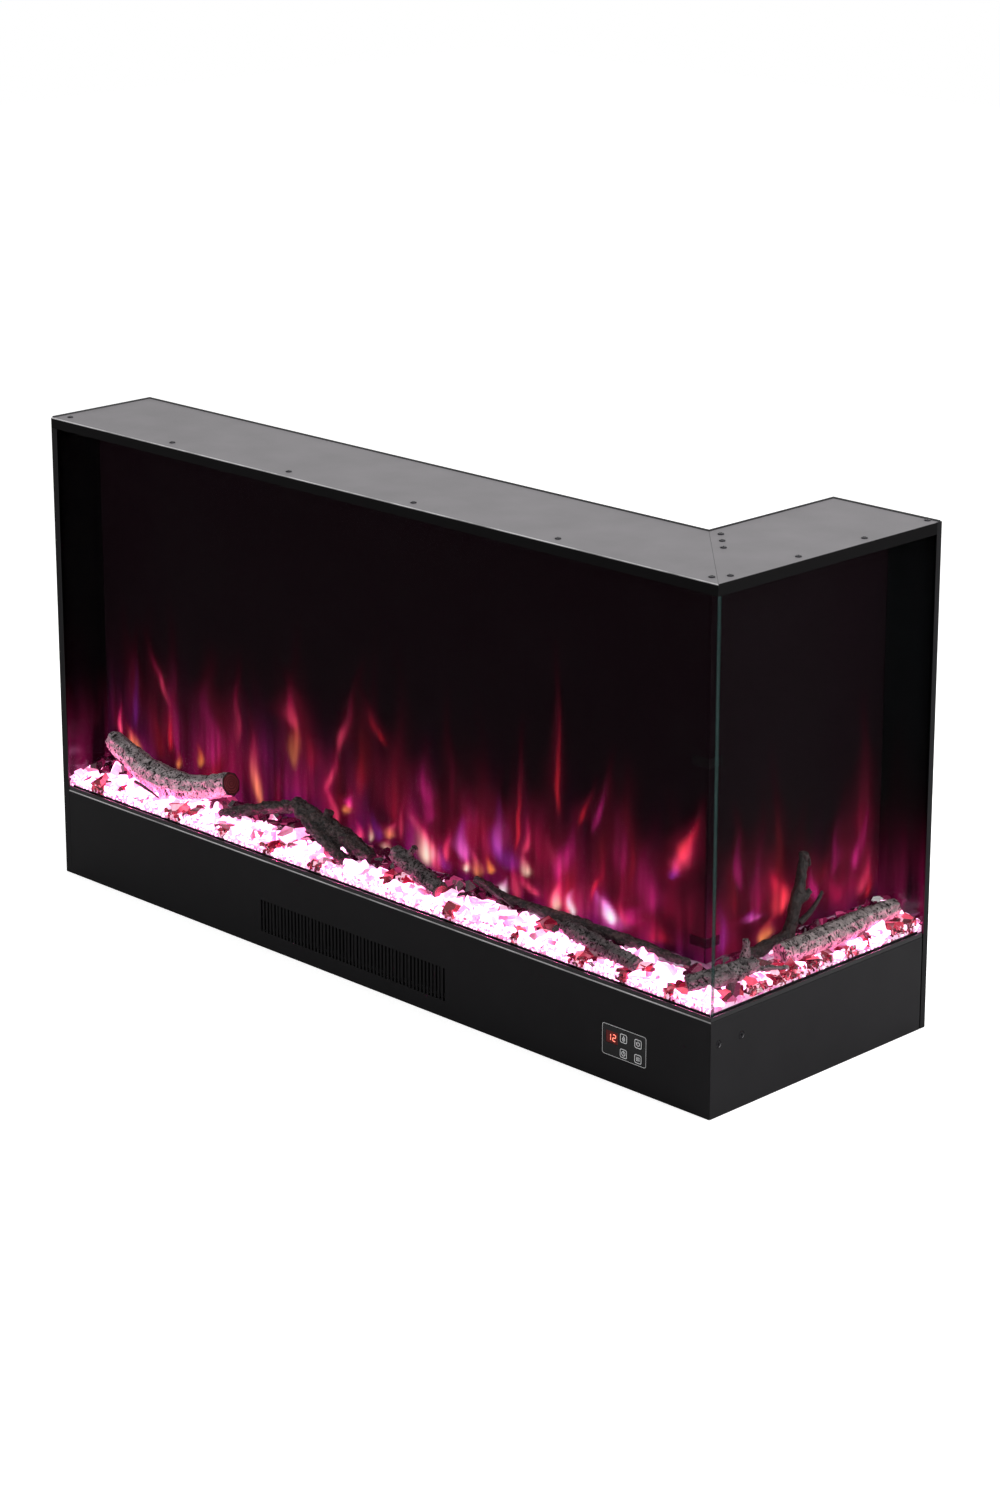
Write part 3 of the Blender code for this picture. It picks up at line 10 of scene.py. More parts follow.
import bpy
import numpy as np
from mathutils import Matrix, Vector, noise
from mathutils.bvhtree import BVHTree


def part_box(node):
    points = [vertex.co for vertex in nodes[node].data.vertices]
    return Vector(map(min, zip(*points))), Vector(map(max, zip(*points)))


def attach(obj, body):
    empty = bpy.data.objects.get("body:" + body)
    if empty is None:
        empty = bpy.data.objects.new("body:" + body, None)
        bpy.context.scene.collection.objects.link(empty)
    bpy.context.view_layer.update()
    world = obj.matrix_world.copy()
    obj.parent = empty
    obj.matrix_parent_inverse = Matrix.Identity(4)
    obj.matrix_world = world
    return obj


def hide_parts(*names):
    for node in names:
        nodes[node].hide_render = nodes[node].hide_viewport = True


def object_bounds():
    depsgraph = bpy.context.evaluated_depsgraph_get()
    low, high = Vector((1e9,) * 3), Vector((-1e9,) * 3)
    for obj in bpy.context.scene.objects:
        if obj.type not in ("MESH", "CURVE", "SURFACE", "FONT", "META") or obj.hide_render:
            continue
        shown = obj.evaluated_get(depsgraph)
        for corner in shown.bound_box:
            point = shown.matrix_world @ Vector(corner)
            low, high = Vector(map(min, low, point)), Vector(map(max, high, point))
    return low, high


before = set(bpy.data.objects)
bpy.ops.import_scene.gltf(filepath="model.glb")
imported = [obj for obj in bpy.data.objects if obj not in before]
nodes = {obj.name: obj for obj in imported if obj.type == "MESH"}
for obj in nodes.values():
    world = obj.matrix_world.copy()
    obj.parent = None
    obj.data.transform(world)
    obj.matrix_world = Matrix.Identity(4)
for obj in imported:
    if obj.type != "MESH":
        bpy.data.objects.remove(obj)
frame_low, frame_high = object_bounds()
print("frame", [round(v, 4) for v in frame_high - frame_low])

# %% [markdown]
# ## Small tools
# Colours are written as the hex values that a designer reads off a screen. A renderer wants linear
# light, so one function turns them. A finish is a tree of shader nodes: one function adds a node
# with its settings and links, and another starts a finish. Many real surfaces drift between two
# close tones in soft patches. A noise that mixes two colours gives that, so it has a function too.

# %% Colour and node helpers
MM = 0.001


def linear(code):
    """A hex colour as linear red, green, blue and alpha."""
    parts = [int(code[i:i + 2], 16) / 255 for i in (1, 3, 5)]
    return [p / 12.92 if p <= 0.04045 else ((p + 0.055) / 1.055) ** 2.4 for p in parts] + [1.0]


def set_inputs(tree, node, inputs):
    """Sets or links a node's inputs. A node given as a value is linked by its main output."""
    for name, value in inputs.items():
        if isinstance(value, bpy.types.Node):
            # A mix of colours has its result on the third output.
            value = value.outputs[2 if value.bl_idname == "ShaderNodeMix" else 0]
        if isinstance(value, bpy.types.NodeSocket):
            tree.links.new(value, node.inputs[name])
        else:
            node.inputs[name].default_value = value


def add_node(tree, kind, inputs=None, **settings):
    """Adds a node with its settings, inputs and links. Every mix is one of colours."""
    made = tree.nodes.new("ShaderNode" + kind)
    if kind == "Mix":
        made.data_type = "RGBA"
    for name, value in settings.items():
        setattr(made, name, value)
    set_inputs(tree, made, inputs or {})
    return made


def new_material(name):
    """A material with its node tree, its shader, and the socket that gives places on a piece."""
    made = bpy.data.materials.new(name)
    made.use_nodes = True
    tree = made.node_tree
    print("finish", name)
    return made, tree, tree.nodes["Principled BSDF"], add_node(tree, "TexCoord").outputs["Object"]


def mottled(name, patch, detail, dark, light, inputs, glow=0.0):
    """A finish that drifts between two tones, with its tree, its shader, its places and its noise."""
    made, tree, shader, place = new_material(name)
    drift = add_node(tree, "TexNoise", {"Vector": place, "Scale": 1 / patch, "Detail": detail})
    colour = add_node(tree, "Mix", {0: drift, 6: linear(dark), 7: linear(light)})
    set_inputs(tree, shader, {"Base Color": colour, **inputs})
    if glow:
        set_inputs(tree, shader, {"Emission Color": colour, "Emission Strength": glow})
    return made, tree, shader, place, drift


# %% [markdown]
# ## Camera and light
# The camera stands where the photographer stood: a little above the top, forty-five degrees round
# from the front. A long lens keeps the far end large, and a small shift frames the fire high in the
# picture. The light is soft and plain, from large lamps over the top and to the sides.

# %% Place the camera
CAMERA_PLACE = (3.130, -3.076, 1.700)
CAMERA_TURN = math.radians(45.0)
CAMERA_RISE = math.radians(15.64)
FOCAL_PIXELS = 3551
PICTURE_HEIGHT = 1500
SENSOR_MM = 36
PICTURE_SHIFT = -0.10

bpy.ops.object.camera_add(location=CAMERA_PLACE, rotation=(math.pi / 2 - CAMERA_RISE, 0, CAMERA_TURN))
camera = bpy.context.object
camera.data.sensor_width = SENSOR_MM
camera.data.lens = FOCAL_PIXELS * SENSOR_MM / PICTURE_HEIGHT
camera.data.shift_y = PICTURE_SHIFT
bpy.context.scene.camera = camera
print("lens", round(camera.data.lens, 1), "mm")

# %% Light the studio
def soft_lamp(name, place, target, width, depth, watts):
    """A rectangular lamp that looks at a point."""
    bpy.ops.object.light_add(type="AREA", location=place)
    lamp = bpy.context.object
    lamp.name = name
    lamp.data.shape = "RECTANGLE"
    lamp.data.size = width
    lamp.data.size_y = depth
    lamp.data.energy = watts
    lamp.rotation_euler = (Vector(target) - Vector(place)).to_track_quat("-Z", "Y").to_euler()
    print(name, watts, "W")


soft_lamp("overhead_lamp", (0, 0.3, 2.6), (0, 0, 0.6), 2.4, 1.6, 28)
soft_lamp("side_lamp", (3.2, 0.6, 1.5), (0.5, 0, 0.3), 1.4, 1.4, 56)
soft_lamp("front_lamp", (-1.4, -3.4, 1.6), (0, 0, 0.3), 1.6, 1.2, 6)

# %% [markdown]
# The world is white where the camera, a reflection or a pane looks straight at it, and weaker as a
# light. So the background is white, but it doesn't wash out the black coat. The floor does the same:
# it glows for the camera alone, and still takes the object's shadow.

# %% Whiten the world
WORLD_STRENGTH = 0.38
world = bpy.data.worlds.new("studio")
world.use_nodes = True
bpy.context.scene.world = world
tree = world.node_tree
tree.nodes.clear()
rays = add_node(tree, "LightPath")
seen = add_node(tree, "Math", {0: rays.outputs["Is Camera Ray"], 1: rays.outputs["Is Glossy Ray"]},
                operation="MAXIMUM")
seen = add_node(tree, "Math", {0: seen, 1: rays.outputs["Is Transmission Ray"]}, operation="MAXIMUM")
level = add_node(tree, "MapRange", {"Value": seen, "To Min": WORLD_STRENGTH})
sky = add_node(tree, "Background", {"Color": (1, 1, 1, 1), "Strength": level})
add_node(tree, "OutputWorld", {"Surface": sky})
bpy.context.scene.view_settings.view_transform = "Standard"

# %% Lay the floor
FLOOR_SIZE = 14
FLOOR_GAP = 0.5 * MM
FLOOR_GLOW = 0.72
bpy.ops.mesh.primitive_plane_add(size=FLOOR_SIZE, location=(0, 0, frame_low.z - FLOOR_GAP))
floor = bpy.context.object
floor.name = "studio_floor"
floor_paint, tree, shader, _ = new_material("white_paper_sweep")
rays = add_node(tree, "LightPath")
glow = add_node(tree, "Math", {0: rays.outputs["Is Camera Ray"], 1: FLOOR_GLOW}, operation="MULTIPLY")
set_inputs(tree, shader, {"Base Color": linear("#f4f4f4"), "Roughness": 0.9, "Specular IOR Level": 0.0,
                          "Emission Color": (1, 1, 1, 1), "Emission Strength": glow})
floor.data.materials.append(floor_paint)

# %% [markdown]
# ## Powder-coated steel
# The casing is folded sheet steel with a matt black powder coat. The powder is baked on in grains
# of about a third of a millimetre, which gives the eye a faint sparkle. The grain is drawn twice as
# coarse as it is, so that it shows at all. The folds along the front catch the light as a pale line,
# which is painted on as a highlight, stronger in some places. The folds are found by the way their
# faces point: a little up and a little forward. The side fascia is painted a shade lighter, as painted
# light from the side. The covers' flanges are painted darker than the fascia, a painted shade, and
# their tops a lighter grey, a painted sheen, which the same test tells apart.

# %% Coat the casing
POWDER_GRAIN = 0.7 * MM
HANDLING_MARKS = 60 * MM
# The painted highlight on the folds is stronger in patches of about this size.
FOLD_HIGHLIGHT_PATCH = 45 * MM


def powder_coat(name, upright, level, fold_highlight, roughness, shine):
    """Powder coat with two tones for upright faces, two for level ones, and a painted highlight for folds."""
    made, tree, shader, place = new_material(name)
    marks = add_node(tree, "TexNoise", {"Vector": place, "Scale": 1 / HANDLING_MARKS, "Detail": 5.0})
    side, top = [add_node(tree, "Mix", {0: marks, 6: linear(dark), 7: linear(light)})
                 for dark, light in (upright, level)]
    # The way a face points tells level faces from upright ones.
    facing = add_node(tree, "SeparateXYZ", {"Vector": add_node(tree, "NewGeometry").outputs["True Normal"]})
    flat = add_node(tree, "MapRange", {"Value": facing.outputs["Z"], "From Min": 0.93, "From Max": 0.98})
    colour = add_node(tree, "Mix", {0: flat, 6: side, 7: top})
    # A fold points a little up and a little forward. It gets a painted highlight, stronger in some places.
    rising = add_node(tree, "MapRange", {"Value": facing.outputs["Z"], "From Min": 0.10, "From Max": 0.34})
    turning = add_node(tree, "MapRange", {"Value": facing.outputs["Y"], "From Min": -0.18, "From Max": -0.34})
    edge = add_node(tree, "Math", {0: rising, 1: turning}, operation="MULTIPLY")
    highlight_patches = add_node(tree, "TexNoise", {"Vector": place, "Scale": 1 / FOLD_HIGHLIGHT_PATCH, "Detail": 4.0})
    highlight_share = add_node(tree, "MapRange", {"Value": highlight_patches, "From Min": 0.30, "From Max": 0.62, "To Min": 0.45})
    edge = add_node(tree, "Math", {0: edge, 1: highlight_share}, operation="MULTIPLY")
    colour = add_node(tree, "Mix", {0: edge, 6: colour, 7: linear(fold_highlight)})
    # The grain of the powder.
    grain = add_node(tree, "TexNoise", {"Vector": place, "Scale": 1 / POWDER_GRAIN, "Detail": 2.0})
    relief = add_node(tree, "Bump", {"Height": grain, "Strength": 0.30, "Distance": POWDER_GRAIN / 4})
    set_inputs(tree, shader, {"Base Color": colour, "Roughness": roughness, "Specular IOR Level": shine,
                              "Normal": relief})
    return made


def refinish(material, *names):
    """Gives frame nodes a finish."""
    for name in names:
        nodes[name].data.materials.clear()
        nodes[name].data.materials.append(material)
    print(material.name, "on", ", ".join(names))


BLACK_TONES = ("#0e0d0f", "#151416")
# The side fascia's tones are lighter than the front's: painted light from the side.
SIDE_LIT_TONES = ("#171618", "#1f1e20")
# The covers' flanges are painted darker than the fascia: painted shade.
FLANGE_SHADE_TONES = ("#040304", "#070607")
# The covers' top faces are painted a lighter grey: a painted sheen of the light from above.
TOP_SHEEN_TONES = ("#747274", "#868386")
# The pale fold colour, the fourth value of each coat, is a painted highlight.
black_coat = powder_coat("matt_black_powder_coat", BLACK_TONES, BLACK_TONES, "#f4f2f4", 0.48, 0.10)
side_lit_coat = powder_coat("black_powder_coat_painted_lighter", SIDE_LIT_TONES, SIDE_LIT_TONES, "#f4f2f4", 0.48, 0.12)
top_coat = powder_coat("black_powder_coat_painted_sheen_and_shade", FLANGE_SHADE_TONES, TOP_SHEEN_TONES, "#e6e4e6", 0.46, 0.05)
refinish(side_lit_coat, "side_fascia")
refinish(black_coat, "front_fascia", "rear_panel_main", "rear_panel_wing", "base_pan_main", "base_pan_wing",
         "front_glass_retainer", "side_glass_retainer", "deck_main", "deck_wing")
refinish(top_coat, "top_cover_main", "top_cover_wing")

# %% [markdown]
# The two end panels are coated outside like the rest. Their inner faces carry a polished black
# liner. The flames' light on it is painted as a glow in soft upright streaks, strongest just over the bed.
# The inner face is the one that points along the leg, so the finish picks it by the way its faces
# point.

# %% Line the end panels
LINER_SMEAR = 70 * MM
STREAK_WIDTH, STREAK_HEIGHT = 22 * MM, 250 * MM
# The light is full up to its foot height, fades out at its top height, and ends where the tray is.
SPILL_TOP, SPILL_FOOT, SPILL_END = 290 * MM, 150 * MM, 126 * MM


def lined_panel(name, axis, sign):
    """Black coat with a polished face where the panel looks along an axis, and painted light on that face."""
    made, tree, shader, place = new_material(name)
    smear = add_node(tree, "TexNoise", {"Vector": place, "Scale": 1 / LINER_SMEAR, "Detail": 5.0})
    coat = add_node(tree, "Mix", {0: smear, 6: linear(BLACK_TONES[0]), 7: linear(BLACK_TONES[1])})
    facing = add_node(tree, "SeparateXYZ", {"Vector": add_node(tree, "NewGeometry").outputs["True Normal"]})
    along = add_node(tree, "Math", {0: facing.outputs[axis], 1: sign}, operation="MULTIPLY")
    inner = add_node(tree, "Math", {0: along, 1: 0.9}, operation="GREATER_THAN")
    colour = add_node(tree, "Mix", {0: inner, 6: coat, 7: linear("#2c282c")})
    polish = add_node(tree, "MapRange", {"Value": inner, "To Min": 0.48, "To Max": 0.22})
    stretch = (1 / STREAK_WIDTH, 1 / STREAK_WIDTH, 1 / STREAK_HEIGHT)
    upright = add_node(tree, "Mapping", {"Vector": place, "Scale": stretch})
    streak = add_node(tree, "TexNoise", {"Vector": upright, "Scale": 1.0, "Detail": 2.0})
    height = add_node(tree, "SeparateXYZ", {"Vector": place}).outputs["Z"]
    low = add_node(tree, "MapRange", {"Value": height, "From Min": SPILL_TOP, "From Max": SPILL_FOOT},
                   interpolation_type="SMOOTHSTEP")
    # The spilled flame light is painted on as a glow in upright streaks.
    spill = add_node(tree, "MapRange", {"Value": streak, "From Min": 0.35, "From Max": 0.75,
                                        "To Min": 0.02, "To Max": 0.40})
    above = add_node(tree, "Math", {0: height, 1: SPILL_END}, operation="GREATER_THAN")
    for share in (low, above, inner):
        spill = add_node(tree, "Math", {0: spill, 1: share}, operation="MULTIPLY")
    light = add_node(tree, "Mix", {0: low, 6: linear("#780a30"), 7: linear("#a8145c")})
    set_inputs(tree, shader, {"Base Color": colour, "Metallic": inner, "Roughness": polish,
                              "Specular IOR Level": 0.10, "Emission Color": light,
                              "Emission Strength": spill})
    return made


refinish(lined_panel("polished_liner_facing_right", "X", 1.0), "left_end_panel")
refinish(lined_panel("polished_liner_facing_front", "Y", -1.0), "wing_end_panel")

# %% [markdown]
# ## Zinc-plated steel
# The heater housing and the motor cans are sheet steel with a thin zinc plate. Zinc crystallises in
# patches a few millimetres across, so the plate looks grey and slightly mottled, and its shine
# changes from patch to patch. Cells of a Voronoi pattern give those patches.

# %% Plate the working parts
SPANGLE = 5 * MM
zinc, tree, shader, place = new_material("zinc_plated_sheet")
spangle = add_node(tree, "TexVoronoi", {"Vector": place, "Scale": 1 / SPANGLE})
cell = add_node(tree, "SeparateColor", {"Color": spangle.outputs["Color"]})
colour = add_node(tree, "Mix", {0: cell.outputs["Red"], 6: linear("#8d9093"), 7: linear("#b4b7b9")})
shine = add_node(tree, "MapRange", {"Value": cell.outputs["Green"], "To Min": 0.30, "To Max": 0.46})
set_inputs(tree, shader, {"Base Color": colour, "Metallic": 1.0, "Roughness": shine})
refinish(zinc, "blower_motor", "heater_housing", "rotor_motor_main", "rotor_motor_wing")

# %% [markdown]
# ## Moulded black plastic
# The glass stands in extruded channels, and the rotors run in moulded bearings. Both are black
# nylon or ABS. A spark-eroded mould leaves a fine even texture, drawn here at half a millimetre.
# The two clips that join the screens at their corner are smoked acrylic like the screens, so they
# hardly show. About half of the light passes through them, which their Alpha gives.

# %% Mould the plastic parts
MOULD_TEXTURE = 0.5 * MM
black_plastic, tree, shader, place, _ = mottled("moulded_black_nylon", 20 * MM, 3.0, "#0c0b0d", "#161518",
                                                {"Roughness": 0.42, "Specular IOR Level": 0.35})
erosion = add_node(tree, "TexNoise", {"Vector": place, "Scale": 1 / MOULD_TEXTURE})
relief = add_node(tree, "Bump", {"Height": erosion, "Strength": 0.25, "Distance": MOULD_TEXTURE / 5})
set_inputs(tree, shader, {"Normal": relief})
refinish(black_plastic, "front_glass_channel", "side_glass_channel", "rotor_bearing_main",
         "rotor_bearing_wing", "blower_wheel", "cable_gland", "key_flame", "key_power", "key_timer",
         "key_heat")

smoked_clip = mottled("smoked_acrylic_clip", 9 * MM, 3.0, "#070506", "#120c10",
                      {"Roughness": 0.12, "Specular IOR Level": 0.04, "Alpha": 0.45})[0]
refinish(smoked_clip, "screen_clip_lower", "screen_clip_upper")

# %% [markdown]
# ## Circuit boards
# The control board, the power board and the LED strips are glass-fibre laminate under a green
# solder mask. Copper tracks run under the mask and show a shade lighter. A brick pattern stands for
# them, with rows half a unit high.

# %% Print the boards
TRACK_UNIT = 2.5 * MM
board, tree, shader, place = new_material("solder_mask_on_laminate")
tracks = add_node(tree, "TexBrick",
                  {"Vector": place, "Color1": linear("#12492c"), "Color2": linear("#0e3a24"),
                   "Mortar": linear("#2c7a4c"), "Scale": 1 / TRACK_UNIT, "Mortar Size": 0.06,
                   "Brick Width": 1.6, "Row Height": 0.5})
set_inputs(tree, shader, {"Base Color": tracks, "Roughness": 0.35})
refinish(board, "control_board", "power_board", "ember_leds_main", "ember_leds_wing", "flame_leds_main",
         "flame_leds_wing")

# %% [markdown]
# ## Bright foil and heater ceramic
# The rotor's fins throw the light of the LEDs on the screens, so they are bright rolled aluminium
# foil, faintly creased. The heating element is a row of dark self-limiting ceramic, dull and
# gritty, so nothing pale shows through the warm-air grille.

# %% Roll the foil and press the ceramic
CREASE, CREASE_DEPTH = 12 * MM, 0.4 * MM
foil, tree, shader, _, crease = mottled("bright_rolled_foil", CREASE, 4.0, "#c9cbcd", "#e4e5e7",
                                        {"Metallic": 1.0, "Roughness": 0.14})
relief = add_node(tree, "Bump", {"Height": crease, "Strength": 0.4, "Distance": CREASE_DEPTH})
set_inputs(tree, shader, {"Normal": relief})
refinish(foil, "flame_rotor_main", "flame_rotor_wing")

CERAMIC_GRIT = 1.2 * MM
ceramic = mottled("dark_heater_ceramic", CERAMIC_GRIT, 3.0, "#0d0c0c", "#1e1c1b", {"Roughness": 0.85})[0]
refinish(ceramic, "heating_element")

# %% [markdown]
# ## Making and keeping a piece
# An operator acts on all that is selected, so a new piece starts with nothing selected. What repeats
# is modelled once, copied and joined. A finished piece has its place in its mesh and its object at
# the origin. One function does that, rides the piece on its body, and hides the frame nodes that the
# piece stands for.

# %% Piece helpers
def select(*pieces):
    """Selects these pieces alone, the first one active."""
    bpy.ops.object.select_all(action="DESELECT")
    for piece in pieces:
        piece.select_set(True)
    if pieces:
        bpy.context.view_layer.objects.active = pieces[0]


def new_object(name, data):
    """An object in the scene for a mesh or a curve."""
    piece = bpy.data.objects.new(name, data)
    bpy.context.scene.collection.objects.link(piece)
    return piece


def joined(name, pieces):
    """Pieces joined to one, under a name."""
    select(*pieces)
    bpy.ops.object.join()
    pieces[0].name = name
    return pieces[0]


def edit_all():
    """Opens the active piece in edit mode, all of it selected."""
    bpy.ops.object.mode_set(mode="EDIT")
    bpy.ops.mesh.select_all(action="SELECT")


# Corners of triangles that lie nearer than this are one point.
SAME_POINT = 0.02 * MM


def copy_of_node(node, name):
    """A copy of a frame node with its loose triangles merged."""
    piece = new_object(name, nodes[node].data.copy())
    select(piece)
    edit_all()
    bpy.ops.mesh.remove_doubles(threshold=SAME_POINT)
    bpy.ops.object.mode_set(mode="OBJECT")
    piece.data.materials.clear()
    return piece


def keep(piece, body="casing", replaces=()):
    """Fixes a finished piece to its body and the frame nodes it stands for."""
    select(piece)
    bpy.ops.object.transform_apply(location=True, rotation=True, scale=True)
    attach(piece, body)
    if replaces:
        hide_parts(*replaces)
    print(piece.name, len(piece.data.polygons), "faces")


# %% [markdown]
# ## The glass
# Each pane is 5 mm toughened float glass. Its faces hardly show: a pane in front of a dark chamber
# gives only a weak shine. Its ground edges show as dull teal lines, because the iron in the glass
# colours the light that runs along it. So the faces are mostly see-through, and the edges and their
# small ground corners get a denser, greener finish.

# %% Finish the glass
PANE_GRIME = 90 * MM
pane_glass, tree, shader, place = new_material("toughened_float_glass")
grime = add_node(tree, "TexNoise", {"Vector": place, "Scale": 1 / PANE_GRIME, "Detail": 6.0})
haze = add_node(tree, "MapRange", {"Value": grime, "To Min": 0.02, "To Max": 0.07})
cover = add_node(tree, "MapRange", {"Value": grime, "To Min": 0.012, "To Max": 0.03})
set_inputs(tree, shader, {"Base Color": linear("#0b1414"), "Roughness": haze, "IOR": 1.52, "Alpha": cover})

edge_glass = mottled("ground_glass_edge", 3 * MM, 2.0, "#0b1a19", "#214340",
                     {"Roughness": 0.22, "Specular IOR Level": 0.15, "Alpha": 0.62})[0]

# %% Set the panes
GROUND_CORNER = 0.6 * MM
FRONT_TO_BACK, SIDE_TO_SIDE = 1, 0


def pane(name, node, thin_axis):
    """A pane in the box of its frame node, with ground edges."""
    low, high = (Vector(v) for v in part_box(node))
    select()
    bpy.ops.mesh.primitive_cube_add(size=1.0, location=(low + high) / 2)
    piece = bpy.context.object
    piece.name = name
    bpy.ops.transform.resize(value=high - low)
    bpy.ops.object.transform_apply(location=False, rotation=False, scale=True)
    edit_all()
    bpy.ops.mesh.bevel(offset=GROUND_CORNER, segments=1)
    bpy.ops.object.mode_set(mode="OBJECT")
    piece.data.materials.append(pane_glass)
    piece.data.materials.append(edge_glass)
    for face in piece.data.polygons:
        face.material_index = 0 if abs(face.normal[thin_axis]) > 0.99 else 1
    keep(piece, replaces=(node,))


pane("front_pane", "front_glass", FRONT_TO_BACK)
pane("side_pane", "side_glass", SIDE_TO_SIDE)

# %% [markdown]
# ## The clear trays
# The crystals lie in folded trays of clear glass with the LED strips below, so that light comes up
# through them. The trays are seen only as a glow between the crystals, and share a tinted finish.

# %% Finish the trays
tray_glass = mottled("lit_clear_tray", 15 * MM, 2.0, "#6a1c4c", "#c04a92",
                     {"Roughness": 0.1, "IOR": 1.52, "Alpha": 0.6}, glow=0.35)[0]
refinish(tray_glass, "ember_tray_main", "ember_tray_wing")

# %% [markdown]
# ## The flames
# A rotor behind each smoked screen throws moving streaks of light on it. A still picture of that
# light could be painted as an image, but then it would be fixed to one size. Here each tongue is one
# row of numbers: a kind of light, the place and height of its foot, how far its tip leans and rises,
# its width, and its strength. The screen is a fine grid, and every point of it adds up the tongues
# that reach it. A haze with upright streaks lies under them, stronger near the bed.

# %% The kinds of flame light
# Each kind has a colour at its foot and one at its tip.
FLAME_LIGHT = {
    "crimson": ("#8a0c34", "#5c0a2c"), "red": ("#dc2430", "#8c1024"), "rose": ("#ff4a72", "#c41c58"),
    "magenta": ("#d42a88", "#90145c"), "orchid": ("#f468d4", "#a030ac"), "violet": ("#6c2ca0", "#521a78"),
    "ember": ("#ff9660", "#f04078"), "orange": ("#ff9c3c", "#dc4830"), "amber": ("#ff9c54", "#e8484c"),
    "cream": ("#ffdcc0", "#ff5c84"), "coral": ("#ff4450", "#d0203c"), "white": ("#ffffff", "#ff8cdc"),
}
# Kind, foot across, foot height, lean, rise, width in millimetres, and strength.
MAIN_TONGUES = [
    ("violet", -537, 216, 4, 87, 11, 0.30), ("rose", -466, 262, -30, 56, 11, 0.35),
    ("red", -463, 198, 7, 66, 11, 0.75), ("rose", -570, 191, 0, 38, 8, 0.85),
    ("amber", -530, 173, -23, 30, 13, 0.95), ("orange", -446, 170, -2, 21, 9, 0.60),
    ("orange", -398, 183, -2, 28, 11, 0.55), ("magenta", -379, 199, 1, 94, 33, 0.42),
    ("rose", -324, 238, 4, 74, 12, 0.35), ("ember", -281, 164, -12, 83, 12, 0.85),
    ("rose", -212, 284, -3, 46, 20, 0.50), ("amber", -209, 232, -2, 69, 14, 0.36),
    ("rose", -117, 274, 24, 72, 12, 0.30), ("rose", -145, 214, 22, 52, 12, 0.50),
    ("rose", -131, 171, -14, 49, 14, 0.90), ("red", -37, 301, -28, 38, 13, 0.30),
    ("magenta", -103, 197, 2, 17, 13, 0.80), ("amber", -109, 187, 4, 16, 10, 0.70),
    ("rose", -83, 157, -7, 22, 12, 0.80), ("cream", -64, 161, 0, 21, 6, 0.60),
    ("violet", -52, 166, -3, 35, 17, 0.45), ("ember", -33, 173, 17, 21, 15, 0.95),
    ("cream", -28, 154, -4, 15, 11, 0.85), ("rose", -5, 183, 6, 48, 7, 0.45),
    ("cream", 45, 160, -25, 50, 20, 1.00), ("rose", 61, 156, -34, 59, 18, 0.70),
    ("magenta", 49, 215, -7, 44, 17, 0.50), ("magenta", 40, 240, -1, 53, 22, 0.30),
    ("orchid", 107, 181, 2, 49, 23, 0.85), ("rose", 78, 171, 4, 36, 9, 0.70),
    ("cream", 114, 164, 0, 16, 7, 1.00), ("ember", 133, 164, -7, 28, 16, 0.80),
    ("orange", 155, 173, -3, 19, 9, 0.90), ("violet", 180, 189, -3, 49, 42, 0.62),
    ("violet", 74, 157, -7, 33, 22, 0.40), ("white", 181, 152, 0, 19, 9, 1.00),
    ("red", 206, 225, 5, 96, 7, 0.50), ("rose", 223, 216, 5, 43, 12, 0.45),
    ("cream", 220, 186, 2, 24, 10, 0.90), ("rose", 204, 153, -5, 44, 16, 0.70),
    ("rose", 230, 165, -17, 22, 17, 0.62), ("red", 275, 297, -2, 117, 8, 0.38),
    ("magenta", 279, 199, 20, 67, 20, 0.62), ("rose", 267, 156, 15, 48, 15, 0.90),
    ("cream", 272, 155, 5, 33, 10, 0.75), ("rose", 287, 154, 1, 47, 14, 0.70),
    ("white", 299, 156, 2, 28, 8, 1.00), ("red", 312, 277, 18, 40, 8, 0.42),
    ("magenta", 339, 277, 18, 63, 10, 0.35), ("red", 335, 186, 16, 44, 8, 0.70),
    ("white", 365, 163, -15, 28, 15, 1.00), ("orchid", 362, 157, -9, 40, 37, 0.62),
    ("rose", 386, 167, -4, 34, 13, 0.42), ("magenta", 396, 170, 19, 28, 26, 0.42),
    ("coral", 482, 274, 21, 50, 17, 0.72), ("rose", 473, 256, 21, 48, 22, 0.50),
    ("violet", 462, 245, 8, 21, 14, 0.60), ("red", 432, 157, 13, 31, 32, 0.45),
    ("crimson", 383, 195, 4, 103, 30, 0.35), ("crimson", 244, 211, 8, 80, 38, 0.30),
    ("crimson", 135, 196, 4, 80, 39, 0.30), ("crimson", -187, 185, 10, 85, 47, 0.35),
    ("crimson", -344, 169, 7, 79, 46, 0.30), ("orchid", 174, 206, 0, 66, 18, 0.25),
    ("magenta", 422, 199, 6, 71, 33, 0.28), ("crimson", -25, 204, 5, 75, 38, 0.28),
]
WING_TONGUES = [
    ("coral", 11, 183, -12, 50, 25, 1.05), ("amber", -18, 153, 15, 22, 15, 0.95),
    ("orchid", -40, 183, 0, 13, 26, 0.55), ("magenta", -61, 235, -7, 62, 13, 0.38),
    ("magenta", 160, 207, 11, 63, 16, 0.55), ("rose", 168, 170, 10, 48, 16, 0.60),
    ("red", 178, 160, 4, 36, 14, 0.40), ("crimson", 114, 169, -11, 45, 23, 0.60),
    ("magenta", 75, 183, -5, 39, 13, 0.55), ("crimson", -73, 139, -11, 87, 33, 0.50),
    ("crimson", 165, 240, -1, 108, 16, 0.30), ("crimson", 145, 154, -3, 73, 51, 0.35),
    ("crimson", -26, 199, -2, 70, 33, 0.30), ("violet", -93, 160, -1, 57, 16, 0.45),
]
print(len(MAIN_TONGUES) + len(WING_TONGUES), "tongues of flame")

